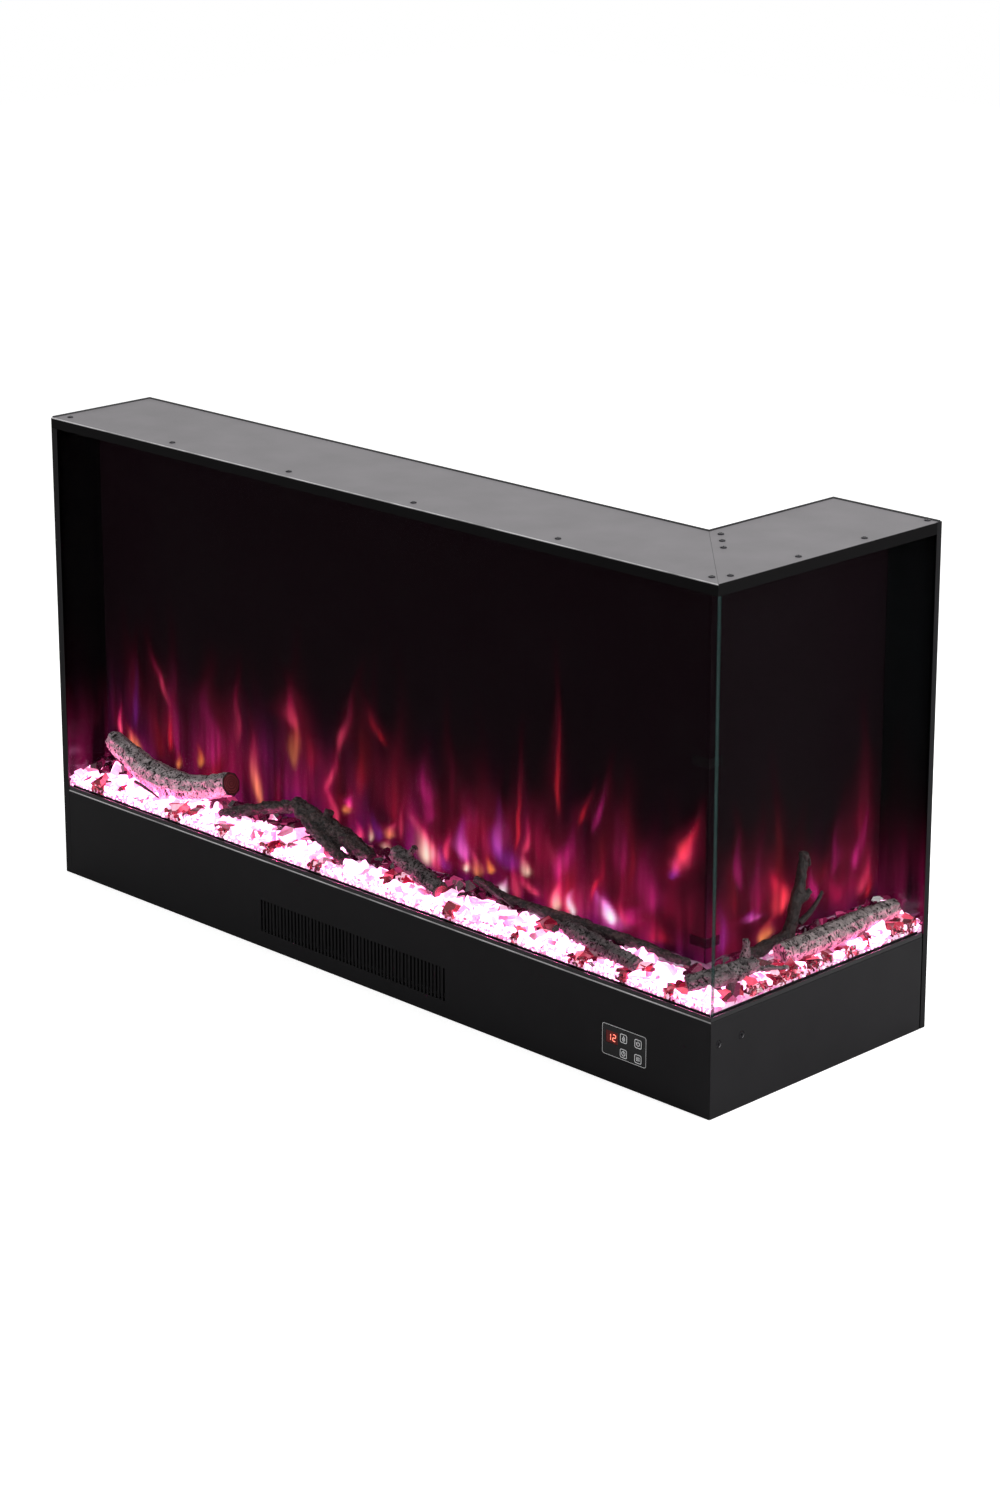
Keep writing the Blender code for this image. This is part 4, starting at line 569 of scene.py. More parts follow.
# %% Add up the light on a screen
HAZE_MIDDLE, HAZE_REACH = 138, 92
HAZE_CRIMSON = np.array([0.085, 0.0028, 0.015])
HAZE_MAGENTA = np.array([0.085, 0.0030, 0.052])
HAZE_GLOW = np.array(linear("#c4184c")[:3])
SMOKE_REST = np.array([0.0022, 0.0006, 0.0012])
HOT_KINDS = ("cream", "white", "amber")
HOT_SPREAD, TONGUE_SPREAD, HALO_SPREAD = 1.75, 1.30, 3.0
HALO_STRENGTH = 0.16
SWAY = 7
# The wisps in the haze: how wide and how tall they are in millimetres, and a layer of the noise for
# broad ones, fine ones, ones that change the hue, and ones that push the tongues sideways.
WISPS = ((26, 210, 0), (8, 90, 9), (60, 150, 21), (30, 38, 33))


def smooth_step(low, high, value):
    """Runs from 0 to 1 between two values, without corners."""
    t = np.clip((value - low) / (high - low), 0, 1)
    return t * t * (3 - 2 * t)


def stray_tongues(low, high, count, seed):
    """Faint tongues between the measured ones, as the rotor's other fins throw them."""
    rng = random.Random(seed)
    strays = []
    for number in range(count):
        kind = rng.choice(("crimson", "crimson", "crimson", "red", "red", "rose", "magenta"))
        foot = low + (number + rng.random()) * (high - low) / count
        strays.append((kind, foot, rng.uniform(145, 235), rng.uniform(-14, 14), rng.uniform(40, 130),
                       rng.uniform(9, 26), rng.uniform(0.05, 0.22)))
    return strays


def flame_field(across, height, tongues, haze, seed):
    """Light colour at each point of a screen, from places in millimetres."""
    wisps = np.array([[noise.noise((a / wide, h / tall, seed + layer)) for wide, tall, layer in WISPS]
                      for a, h in zip(across, height)])
    broad, fine, tint, push = wisps.T
    strength = haze * np.exp(-(np.clip(height - HAZE_MIDDLE, 0, None) / HAZE_REACH) ** 2)
    strength *= np.clip(0.80 + 1.5 * broad + 0.7 * fine, 0.15, 2.4)
    hue = np.clip(0.25 + 1.3 * tint + 0.7 * smooth_step(205, 150, height), 0, 1)[:, None]
    light = SMOKE_REST + strength[:, None] * (HAZE_CRIMSON * (1 - hue) + HAZE_MAGENTA * hue)
    drift = across + SWAY * push
    streak = np.clip(0.9 + 0.9 * fine, 0.35, 1.5)
    for number, (kind, foot, low, lean, rise, width, power) in enumerate(tongues):
        # How far up the tongue a point is: 0 at the foot and 1 at the tip.
        t = (height - low) / rise
        bent = foot + lean * t + 0.20 * width * np.sin(4.4 * t + number)
        # Half its width there, which narrows towards the tip and a little at the foot.
        half = 0.5 * (HOT_SPREAD if kind in HOT_KINDS else TONGUE_SPREAD) * width
        half = half * (0.25 + 0.75 * np.clip(1.15 - t, 0, 1) ** 0.8)
        half = half * (0.60 + 0.40 * smooth_step(-0.1, 0.3, t))
        fade = smooth_step(-0.22, 0.10, t) * (1 - smooth_step(0.20, 1.25, t))
        body = streak * fade * np.exp(-1.4 * ((drift - bent) / half) ** 2)
        # A wide weak glow in the smoke round the tongue.
        halo = smooth_step(-0.7, 0.3, t) * (1 - smooth_step(0.4, 1.9, t))
        halo = HALO_STRENGTH * halo * np.exp(-1.4 * ((across - bent) / (half * HALO_SPREAD)) ** 2)
        low_colour, high_colour = (np.array(linear(code)[:3]) for code in FLAME_LIGHT[kind])
        mix = smooth_step(0.0, 0.9, t)[:, None]
        light = light + (power * body)[:, None] * (low_colour * (1 - mix) + high_colour * mix)
        light = light + (power * halo)[:, None] * HAZE_GLOW
    return np.clip(light, 0, 1)


# %% [markdown]
# The screen itself is 3 mm smoked acrylic. A grid plane gives the front face, finer low down where
# the flames are. Its border is extruded back by the thickness of the sheet and filled, which closes
# the sheet. The light is kept as a colour attribute, so it stays with the surface in any view.

# %% Finish the smoked screens
smoked, tree, shader, _, _ = mottled("smoked_acrylic_with_flame_light", 40 * MM, 4.0, "#040203", "#090507",
                                     {"Roughness": 0.14, "Specular IOR Level": 0.005})
light = add_node(tree, "Attribute", attribute_name="flame_light")
set_inputs(tree, shader, {"Emission Color": light, "Emission Strength": 1.0})

# %% Build the screens
SCREEN_CELL = 3.0 * MM
# Cells are taller than wide, and a power over 1 crowds them near the lower edge.
CELL_STRETCH, CROWD_LOW = 1.6, 1.25


def flame_screen(name, node, along_axis, tongues, haze, seed):
    """A smoked sheet in its node's box, its front face gridded for the flame light."""
    low, high = (Vector(v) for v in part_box(node))
    thin_axis = 1 - along_axis
    width, tall, thick = high[along_axis] - low[along_axis], high.z - low.z, high[thin_axis] - low[thin_axis]
    select()
    bpy.ops.mesh.primitive_grid_add(x_subdivisions=round(width / SCREEN_CELL),
                                    y_subdivisions=round(tall / SCREEN_CELL / CELL_STRETCH), size=1.0)
    piece = bpy.context.object
    piece.name = name
    mesh = piece.data
    front = low[1] if along_axis == 0 else high[0]
    for vertex in mesh.vertices:
        spot = Vector((0, 0, 0))
        spot[along_axis] = low[along_axis] + (vertex.co.x + 0.5) * width
        spot[thin_axis] = front
        spot.z = low.z + (vertex.co.y + 0.5) ** CROWD_LOW * tall
        vertex.co = spot
    edit_all()
    bpy.ops.mesh.region_to_loop()
    back = Vector((0, 0, 0))
    back[thin_axis] = thick if along_axis == 0 else -thick
    bpy.ops.mesh.extrude_region_move(TRANSFORM_OT_translate={"value": back})
    bpy.ops.mesh.edge_face_add()
    bpy.ops.mesh.select_all(action="SELECT")
    bpy.ops.mesh.normals_make_consistent(inside=False)
    bpy.ops.object.mode_set(mode="OBJECT")
    points = np.empty(len(mesh.vertices) * 3)
    mesh.vertices.foreach_get("co", points)
    points = points.reshape(-1, 3) / MM
    field = flame_field(points[:, along_axis], points[:, 2], tongues, haze, seed)
    behind = np.abs(points[:, thin_axis] - front / MM) > 0.5 * thick / MM
    field[behind] = SMOKE_REST
    attribute = mesh.color_attributes.new("flame_light", "FLOAT_COLOR", "POINT")
    attribute.data.foreach_set("color", np.column_stack([field, np.ones(len(field))]).ravel())
    mesh.materials.append(smoked)
    keep(piece, replaces=(node,))


flame_screen("main_flame_screen", "flame_screen_main", 0, MAIN_TONGUES + stray_tongues(-590, 510, 46, 4),
             1.0, 3.7)
flame_screen("wing_flame_screen", "flame_screen_wing", 1, WING_TONGUES + stray_tongues(-115, 195, 9, 8),
             0.42, 11.3)

# %% [markdown]
# ## The crystal bed
# The bed is crushed glass, lit from below: pieces of 14 to 26 mm with flat broken faces, and smaller
# chips stacked against the glass. Near the front glass they are so bright that they look white with
# pink edges, and towards the screens the light fades to magenta. Red pieces lie among them in
# clumps. A few shapes are cut from a cube with flat cuts. They are copied, turned and scattered, and
# every face gets its own light value, which gives the eye the glitter of broken glass.

# %% Cut the crystal shapes
CRYSTAL_SHAPES = 7
CRYSTAL_CUTS = 8


def cut_crystal(seed):
    """One broken piece about a unit across: a cube with its corners cut off."""
    rng = random.Random(seed)
    select()
    bpy.ops.mesh.primitive_cube_add(size=1.0)
    piece = bpy.context.object
    piece.name = f"crystal_shape_{seed}"
    bpy.ops.object.mode_set(mode="EDIT")
    for _ in range(CRYSTAL_CUTS):
        away = Vector((rng.gauss(0, 1), rng.gauss(0, 1), rng.gauss(0, 1))).normalized()
        bpy.ops.mesh.select_all(action="SELECT")
        bpy.ops.mesh.bisect(plane_co=away * rng.uniform(0.36, 0.50), plane_no=away, use_fill=True,
                            clear_outer=True)
    bpy.ops.object.mode_set(mode="OBJECT")
    return piece


shapes = [cut_crystal(seed) for seed in range(CRYSTAL_SHAPES)]
print("crystal shapes with", [len(s.data.polygons) for s in shapes], "faces")

# %% [markdown]
# A crystal's light is kept as a colour attribute at the corners of its faces. Small flaws in the
# glass dim it here and there. The bed under the crystals is seen only through their gaps. It glows in
# chips of 8 mm, bright low down and nearly dark at its top.

# %% Finish the crystals
GLASS_FLAW = 4 * MM
crystal_glass, tree, shader, place = new_material("crushed_glass_lit_from_below")
light = add_node(tree, "Attribute", attribute_name="crystal_light")
flaw = add_node(tree, "TexNoise", {"Vector": place, "Scale": 1 / GLASS_FLAW, "Detail": 3.0})
fade = add_node(tree, "MapRange", {"Value": flaw, "From Min": 0.35, "From Max": 0.65, "To Min": 0.62})
colour = add_node(tree, "VectorMath", {0: light, "Scale": fade}, operation="SCALE")
set_inputs(tree, shader, {"Base Color": light, "Roughness": 0.08, "IOR": 1.5,
                          "Emission Color": colour, "Emission Strength": 1.0})

BED_CHIP = 8 * MM
BED_FOOT, BED_TOP = 134 * MM, 152 * MM
bed_glass, tree, shader, place = new_material("glow_between_the_crystals")
height = add_node(tree, "SeparateXYZ", {"Vector": place}).outputs["Z"]
depth = add_node(tree, "MapRange", {"Value": height, "From Min": BED_FOOT, "From Max": BED_TOP,
                                    "To Min": 1.0, "To Max": 0.06})
chips = add_node(tree, "TexVoronoi", {"Vector": place, "Scale": 1 / BED_CHIP})
tone = add_node(tree, "SeparateColor", {"Color": chips.outputs["Color"]})
colour = add_node(tree, "Mix", {0: tone.outputs["Red"], 6: linear("#ee7cc0"), 7: linear("#ffdcf4")})
colour = add_node(tree, "VectorMath", {0: colour, "Scale": depth}, operation="SCALE")
set_inputs(tree, shader, {"Base Color": linear("#3a1028"), "Roughness": 0.2,
                          "Emission Color": colour, "Emission Strength": 1.1})
refinish(bed_glass, "ember_bed_main", "ember_bed_wing")

# %% Where the crystals lie and how they shine
CRYSTAL_PITCH = 11.5 * MM
CRYSTAL_SIZE = (14 * MM, 26 * MM)
CHIP_SIZE = 9.0 * MM
CHIP_PITCH = 6.5 * MM
CHIP_HEIGHTS = (128 * MM, 132 * MM, 137 * MM)
LOGS = ("log_birch_left", "branch_forked", "log_short", "branch_rear", "log_ringed", "log_corner",
        "root_stump", "log_birch_wing")
# Where the red clumps lie: across, along and reach, in millimetres.
RED_CLUMPS = [
    (-537, -184, 15), (-500, -178, 9), (-376, -184, 17), (-350, -174, 12), (-277, -184, 12),
    (-184, -178, 16), (-160, -170, 10), (-92, -182, 14), (33, -163, 17), (50, -150, 12), (156, -184, 11),
    (270, -182, 10), (290, -156, 16), (377, -184, 16), (400, -172, 12), (450, -184, 10), (470, -168, 12),
    (525, -182, 12), (560, -140, 13), (583, -160, 10), (576, -122, 14), (583, -100, 17), (580, -78, 11),
    (584, -56, 18), (582, -34, 13), (552, -46, 14), (540, -14, 13), (584, -8, 18), (584, 22, 10),
    (575, 42, 9), (584, 66, 13), (570, 104, 16), (560, 141, 10), (584, 150, 13), (578, 176, 15),
]
# Linear light that single faces give: near the front glass, in the red clumps, and deep in the bed.
BRIGHT = [(5.5, 2.10, 4.0), (1.7, 1.05, 1.42), (1.05, 0.60, 0.82), (1.0, 0.26, 0.52), (0.40, 0.03, 0.10)]
RED = [(0.03, 0.000, 0.004), (0.12, 0.003, 0.012), (0.34, 0.010, 0.035), (0.80, 0.090, 0.16),
       (1.0, 0.55, 0.70)]
DEEP = [(0.006, 0.0, 0.002), (0.030, 0.002, 0.010), (0.12, 0.006, 0.035), (0.40, 0.045, 0.14)]
# The share of the bed's depth over which the bright light gives way to the deep one.
DEEP_FROM, DEEP_FULL = 0.38, 0.80


def surface_of(name):
    """A search tree over a frame node's surface."""
    mesh = nodes[name].data
    return BVHTree.FromPolygons([v.co for v in mesh.vertices], [tuple(p.vertices) for p in mesh.polygons])


log_surfaces = [surface_of(name) for name in LOGS]
LOG_REACH = 30 * MM


def clear_of_logs(spot, room):
    """True where a crystal neither sits in a log nor leans far into one."""
    for surface in log_surfaces:
        place, normal, _, distance = surface.find_nearest(spot, LOG_REACH)
        if place is not None and (distance < room or (spot - place).dot(normal) < 0):
            return False
    return True


def crystal_tones(across, along, depth_share, rng):
    """The light palette and its odds at a place in the bed."""
    for x, y, reach in RED_CLUMPS:
        if math.hypot(across / MM - x, along / MM - y) < reach * rng.uniform(0.7, 1.1):
            return RED, (6, 6, 4, 2, 2)
    if rng.random() < float(smooth_step(DEEP_FROM, DEEP_FULL, depth_share)):
        return DEEP, (5, 4, 3, 1)
    return BRIGHT, (7, 5, 4, 4, 2)


# %% Scatter the crystals
# How far a crystal may stray from its place in the grid, as a share of the pitch, and the room that
# it needs from a wall and from a log, as shares of its size.
STRAY = 0.35
WALL_ROOM, LOG_ROOM = 0.45, 0.18
# A crystal falls on the bed from this height, and a corner's light mixes the face's and its own.
DROP_HEIGHT = 0.3
FACE_LIGHT, CORNER_LIGHT = 0.8, 0.2


def places_in_bed(low, high, face, glass_side, rng):
    """Places and sizes: a loose grid of crystals, and rows of chips stacked against the glass."""
    span = (high[0] - low[0], high[1] - low[1])
    columns, rows = (round(length / CRYSTAL_PITCH) for length in span)
    places = []
    for column in range(columns):
        for row in range(rows):
            size = rng.uniform(*CRYSTAL_SIZE)
            room = size * WALL_ROOM
            x = low[0] + (column + 0.5 + rng.uniform(-STRAY, STRAY)) * span[0] / columns
            y = low[1] + (row + 0.5 + rng.uniform(-STRAY, STRAY)) * span[1] / rows
            x = min(max(x, low[0] + room), high[0] - room)
            y = min(max(y, low[1] + room), high[1] - room)
            places.append((x, y, None, size))
    along = 0 if glass_side == "front" else 1
    chips = round(span[along] / CHIP_PITCH)
    for height in CHIP_HEIGHTS:
        for number in range(chips):
            run = low[along] + (number + rng.uniform(0.3, 0.7)) * span[along] / chips
            size = CHIP_SIZE * rng.uniform(0.7, 1.0)
            places.append((run, face, height, size) if along == 0 else (face, run, height, size))
    return places


def held_inside(mesh, walls):
    """Moves a crystal that would poke through a wall of its bed back inside."""
    shift = Vector((0, 0, 0))
    for axis in (0, 1):
        line = [vertex.co[axis] for vertex in mesh.vertices]
        shift[axis] = max(walls[0][axis] - min(line), 0) + min(walls[1][axis] - max(line), 0)
    mesh.transform(Matrix.Translation(shift))


def crystal(name, spot, size, walls, tones, odds, rng):
    """One turned copy of a shape, with a light value at each corner of its faces."""
    turn = Matrix.Rotation(rng.uniform(0, 6.28), 4, "Z") @ Matrix.Rotation(rng.uniform(0, 6.28), 4, "X")
    grow = Matrix.Diagonal((size, size * rng.uniform(0.75, 1.0), size * rng.uniform(0.6, 0.9), 1))
    mesh = rng.choice(shapes).data.copy()
    mesh.transform(Matrix.Translation(spot) @ turn @ grow)
    held_inside(mesh, walls)
    attribute = mesh.color_attributes.new("crystal_light", "FLOAT_COLOR", "CORNER")
    for face in mesh.polygons:
        tone = Vector(rng.choices(tones, odds)[0])
        for corner in face.loop_indices:
            mixed = FACE_LIGHT * tone + CORNER_LIGHT * Vector(rng.choices(tones, odds)[0])
            attribute.data[corner].color = (*mixed, 1)
    return new_object(name, mesh)


def scatter(name, bed, low, high, walls, face, glass_side, seed):
    """Fills a bed with crystals, between walls, and joins them to one piece."""
    rng = random.Random(seed)
    surface = surface_of(bed)
    copies = []
    for x, y, height, size in places_in_bed(low, high, face, glass_side, rng):
        if height is None:
            spot = surface.ray_cast(Vector((x, y, DROP_HEIGHT)), Vector((0, 0, -1)))[0]
            if spot is None:
                continue
            spot.z += rng.uniform(-2.5, 2.5) * MM
        else:
            spot = Vector((x, y, height + rng.uniform(-1.0, 1.0) * MM))
        if not clear_of_logs(spot, LOG_ROOM * size):
            continue
        if glass_side == "front":
            depth_share = (y - low[1]) / (high[1] - low[1])
        else:
            depth_share = (high[0] - x) / (high[0] - low[0])
        copies.append(crystal(name, spot, size, walls, *crystal_tones(x, y, depth_share, rng), rng))
    piece = joined(name, copies)
    piece.data.materials.clear()
    piece.data.materials.append(crystal_glass)
    keep(piece)
    print(name, len(copies), "crystals")


MAIN_WALLS = ((-0.5979, -0.1934), (0.5924, -0.1213))
WING_WALLS = ((0.5203, -0.1300), (0.5924, 0.1989))
scatter("crystals_main", "ember_bed_main", (-0.5965, -0.1905), (0.5885, -0.1220), MAIN_WALLS, -0.1886,
        "front", 5)
scatter("crystals_wing", "ember_bed_wing", (0.5215, -0.1200), (0.5885, 0.1980), WING_WALLS, 0.5874,
        "side", 6)
for shape in shapes:
    bpy.data.objects.remove(shape)

# %% [markdown]
# ## The logs
# The logs are cast from resin in moulds of real wood and painted by hand. The birch ones are pale
# grey with dark cracks and flecks, the short ones are more weathered, and the sawn ends are
# red-brown with rings. The branches and the root are dark, with a grain along the wood. Each is made
# from a copy of its solid: an even skin from a voxel remesh, softened, then moved in and out along a
# stretched noise. The same noise is kept as an attribute, so that the paint lies in the cracks. A
# second attribute keeps how far a point of a sawn end is from its middle, for the rings. The
# crystals throw pink light on the undersides of the birch and weathered logs. Their paint adds it as
# a glow on the faces that look down.

# %% Paint the birch bark
BIRCH_WASH, BIRCH_FLECK, BIRCH_RELIEF = 12 * MM, 3 * MM, 1.6 * MM


def birch_bark(name, shade, light, glow):
    """Painted birch bark between two greys, with black in its cracks and flecks."""
    made, tree, shader, place = new_material(name)
    cracks = add_node(tree, "Attribute", attribute_name="bark_crack").outputs["Fac"]
    wash = add_node(tree, "TexNoise", {"Vector": place, "Scale": 1 / BIRCH_WASH, "Detail": 8.0,
                                       "Roughness": 0.7})
    spread = add_node(tree, "MapRange", {"Value": wash, "From Min": 0.34, "From Max": 0.64})
    colour = add_node(tree, "Mix", {0: spread, 6: linear(shade), 7: linear(light)})
    fleck = add_node(tree, "TexNoise", {"Vector": place, "Scale": 1 / BIRCH_FLECK, "Detail": 3.0})
    flecks = add_node(tree, "MapRange", {"Value": fleck, "From Min": 0.56, "From Max": 0.62})
    dark = add_node(tree, "Math", {0: cracks, 1: flecks}, operation="MAXIMUM")
    colour = add_node(tree, "Mix", {0: dark, 6: colour, 7: linear("#0c0809")})
    relief = add_node(tree, "Bump", {"Height": fleck, "Strength": 1.0, "Distance": BIRCH_RELIEF})
    facing = add_node(tree, "SeparateXYZ", {0: add_node(tree, "NewGeometry").outputs["Normal"]})
    under = add_node(tree, "MapRange", {"Value": facing.outputs["Z"], "From Min": 0.62, "From Max": -0.50,
                                        "To Max": glow})
    pink = add_node(tree, "Mix", {0: 1.0, 6: colour, 7: linear("#ff6cae")}, blend_type="MULTIPLY")
    set_inputs(tree, shader, {"Base Color": colour, "Roughness": 0.8, "Specular IOR Level": 0.2,
                              "Normal": relief, "Emission Color": pink, "Emission Strength": under})
    return made


# The left birch log is painted in much paler tones than the wing one, as painted light on it.
birch_painted_brighter = birch_bark("painted_resin_birch_bark_painted_brighter", "#8a8083", "#f2e8ea", 1.6)
birch = birch_bark("painted_resin_birch_bark", "#554d4f", "#b4a8a7", 3.2)
weathered = birch_bark("painted_resin_weathered_bark", "#332e30", "#857d7e", 1.2)

# %% Paint the dark bark and the sawn ends
DARK_WASH, DARK_RELIEF = 6 * MM, 3 * MM


def dark_paint(name, light):
    """Painted dark bark with a grain, up to a light tone, and black in its cracks."""
    made, tree, shader, place = new_material(name)
    cracks = add_node(tree, "Attribute", attribute_name="bark_crack").outputs["Fac"]
    wash = add_node(tree, "TexNoise", {"Vector": place, "Scale": 1 / DARK_WASH, "Detail": 8.0,
                                       "Roughness": 0.7})
    spread = add_node(tree, "MapRange", {"Value": wash, "From Min": 0.42, "From Max": 0.66})
    colour = add_node(tree, "Mix", {0: spread, 6: linear("#0c0607"), 7: linear(light)})
    colour = add_node(tree, "Mix", {0: cracks, 6: colour, 7: linear("#070404")})
    relief = add_node(tree, "Bump", {"Height": wash, "Strength": 1.0, "Distance": DARK_RELIEF})
    set_inputs(tree, shader, {"Base Color": colour, "Roughness": 0.6, "Specular IOR Level": 0.4,
                              "Normal": relief})
    return made


branch_bark = dark_paint("painted_resin_dark_bark", "#5e4c4b")
root_bark = dark_paint("painted_resin_root_bark", "#3a2b28")

# The rings are a sine of the distance from the middle, bent by a stain in the wood.
RINGS, RING_BEND = 30.0, 9.0
WOOD_STAIN = 7 * MM
sawn_wood, tree, shader, place = new_material("painted_sawn_end")
share = add_node(tree, "Attribute", attribute_name="sawn_share").outputs["Fac"]
stain = add_node(tree, "TexNoise", {"Vector": place, "Scale": 1 / WOOD_STAIN, "Detail": 5.0})
bend = add_node(tree, "Math", {0: stain, 1: RING_BEND}, operation="MULTIPLY")
ring = add_node(tree, "Math", {0: share, 1: RINGS, 2: bend}, operation="MULTIPLY_ADD")
ring = add_node(tree, "Math", {0: ring}, operation="SINE")
ring = add_node(tree, "MapRange", {"Value": ring, "From Min": -1.0})
colour = add_node(tree, "Mix", {0: ring, 6: linear("#4e1a20"), 7: linear("#96434a")})
rim = add_node(tree, "MapRange", {"Value": share, "From Min": 0.78, "From Max": 0.96})
colour = add_node(tree, "Mix", {0: rim, 6: colour, 7: linear("#1c0a0c")})
set_inputs(tree, shader, {"Base Color": colour, "Roughness": 0.7})

# %% Work the bark
SKIN_SOFTENING = 3
SAWN_DEPTH = 3.5
CRACK_WIDTH = 0.20
RING_PITCH = 7.0
# Lumps of three sizes in millimetres, the share of each in the swelling, and its shift in the noise.
LUMPS = ((11, 1.0, (0, 0, 0)), (4.5, 0.45, (2, 8, 1)), (2.4, 0.25, (5, 1, 9)))


def bark(node, skin, crack_pitch, crack_depth, lump, finish, sawn=None, rings=0.0):
    """A log's bark over its solid. Crack pitches are along x, y and z in millimetres. A sawn end is
    its middle, the way it faces, and its radius."""
    piece = copy_of_node(node, f"{node}_bark")
    even = piece.modifiers.new("even_skin", "REMESH")
    even.mode = "VOXEL"
    even.voxel_size = skin
    bpy.ops.object.modifier_apply(modifier=even.name)
    soft = piece.modifiers.new("soft_skin", "SMOOTH")
    soft.iterations = SKIN_SOFTENING
    bpy.ops.object.modifier_apply(modifier=soft.name)
    mesh = piece.data
    mesh.materials.append(finish)
    mesh.materials.append(sawn_wood)
    crack, share, moves = np.zeros(len(mesh.vertices)), np.zeros(len(mesh.vertices)), []
    on_end = set()
    for vertex in mesh.vertices:
        spot = vertex.co / MM
        if sawn:
            away = (spot - sawn[0]).dot(sawn[1])
            across = (spot - sawn[0] - away * sawn[1]).length
            if away > -SAWN_DEPTH and across < sawn[2] * 1.05:
                on_end.add(vertex.index)
                share[vertex.index] = across / sawn[2]
                moves.append((spot - min(away + 0.4, 0.0) * sawn[1] * 0.8) * MM)
                continue
        # A crack runs where the noise crosses zero, and patches of a coarser noise interrupt it.
        at = Vector((spot.x / crack_pitch[0], spot.y / crack_pitch[1], spot.z / crack_pitch[2]))
        line = max(0.0, 1 - abs(noise.noise(at)) / CRACK_WIDTH)
        line *= float(smooth_step(-0.15, 0.10, noise.noise(at * 0.6 + Vector((7, 3, 5)))))
        crack[vertex.index] = float(smooth_step(0.30, 0.70, line))
        swell = sum(part * lump * noise.noise(spot / size + Vector(shift)) for size, part, shift in LUMPS)
        swell += rings * math.sin(spot.x / RING_PITCH * 2 * math.pi + 1.5 * noise.noise(spot / 9))
        moves.append(vertex.co + vertex.normal * (swell * MM - crack_depth * line * MM))
    for vertex, spot in zip(mesh.vertices, moves):
        vertex.co = spot
    for name, values in (("bark_crack", crack), ("sawn_share", share)):
        mesh.attributes.new(name, "FLOAT", "POINT").data.foreach_set("value", values)
    for face in mesh.polygons:
        face.use_smooth = True
        face.material_index = 1 if all(v in on_end for v in face.vertices) else 0
    keep(piece, replaces=(node,))


bark("log_birch_left", 1.3 * MM, (4.5, 11, 11), 1.6, 1.5, birch_painted_brighter,
     sawn=(Vector((-312.0, -142.3, 182.3)), Vector((0.943, 0.100, 0.319)), 16.0))
bark("log_short", 1.3 * MM, (6, 6, 6), 1.6, 2.2, weathered,
     sawn=(Vector((115.3, -165.7, 146.7)), Vector((0.953, -0.265, -0.148)), 10.5))
bark("log_ringed", 1.3 * MM, (5, 8, 8), 1.2, 1.6, weathered, rings=0.9)
bark("log_corner", 1.4 * MM, (6, 5, 6), 1.5, 2.2, weathered,
     sawn=(Vector((538.5, -176.4, 144.5)), Vector((-0.583, -0.789, -0.195)), 10.7))
bark("log_birch_wing", 1.4 * MM, (11, 4.5, 11), 1.5, 1.5, birch)
bark("branch_forked", 1.3 * MM, (9, 4, 4), 1.6, 2.8, branch_bark)
bark("branch_rear", 1.5 * MM, (14, 4, 4), 1.2, 1.8, branch_bark)
bark("root_stump", 1.3 * MM, (4, 6, 13), 1.2, 2.0, root_bark)

# %% [markdown]
# A few thin twigs stand off the branches. Each is a smooth curve along a few measured points, with a
# round section that thins towards its tip. It is turned into a mesh and painted like the bark.

# %% Add the twigs
# How far a twig wobbles, and over what length in millimetres.
TWIG_WOBBLE, WOBBLE_LENGTH = 0.6 * MM, 5
# Points along each twig in millimetres, and its thickness at the start and at the tip.
TWIGS = {
    "rear_twig": ([(155, -142, 170), (178, -146, 166), (200, -147, 158), (225, -147, 151)], 5.5, 2.5),
    "left_twig": ([(-481, -170, 152), (-439, -178, 151), (-412, -187, 150)], 5.0, 2.5),
    "stump_side_twig": ([(536, 30, 166), (539, 46, 174), (541, 58, 186), (541, 66, 199)], 9.0, 4.0),
    "stump_hook": ([(536, 35, 200), (536, 37, 226), (536, 33, 244), (536, 41, 250), (536, 48, 244),
                    (536, 46, 235)], 6.0, 2.5),
}


def round_line(name, lines, radius, kind="POLY", sides=3):
    """Lines with a round section, made a mesh. A line is its points and whether it closes. A point
    is its place in millimetres and a number that its radius is multiplied by."""
    curve = bpy.data.curves.new(name, "CURVE")
    curve.dimensions = "3D"
    curve.bevel_depth = radius * MM
    curve.bevel_resolution = sides
    curve.resolution_u = 6
    curve.use_fill_caps = True
    for points, closed in lines:
        spline = curve.splines.new(kind)
        spline.points.add(len(points) - 1)
        spline.use_endpoint_u = True
        spline.use_cyclic_u = closed
        for point, (x, y, z, girth) in zip(spline.points, points):
            point.co = (x * MM, y * MM, z * MM, 1)
            point.radius = girth
    piece = new_object(name, curve)
    select(piece)
    bpy.ops.object.convert(target="MESH")
    return piece


for name, (points, thick, thin) in TWIGS.items():
    girths = [thick + (thin - thick) * number / (len(points) - 1) for number in range(len(points))]
    line = [(*point, girth) for point, girth in zip(points, girths)]
    twig = round_line(name, [(line, False)], 0.5, kind="NURBS")
    for vertex in twig.data.vertices:
        spot = vertex.co / MM
        at = spot / WOBBLE_LENGTH
        wobble = Vector((noise.noise(at), noise.noise(at + Vector((9, 0, 0))), 0))
        vertex.co = vertex.co + TWIG_WOBBLE * wobble
    for face in twig.data.polygons:
        face.use_smooth = True
    twig.data.materials.append(root_bark if name.startswith("stump") else branch_bark)
    keep(twig)

# %% [markdown]
# ## Screws
# The covers are held by pan-head screws with a cross recess, of steel with a black zinc plate that
# is worn a little paler in places. One head is modelled: a cylinder with its upper edge rounded and
# the cross cut by two crossed bars. It is copied to the ten places on the covers, and to the three
# on the joint plate, whose plain heads are cut off first. The same screws hold the rear panels along
# their edges. Only heads are made, because the sheets hide the threads.

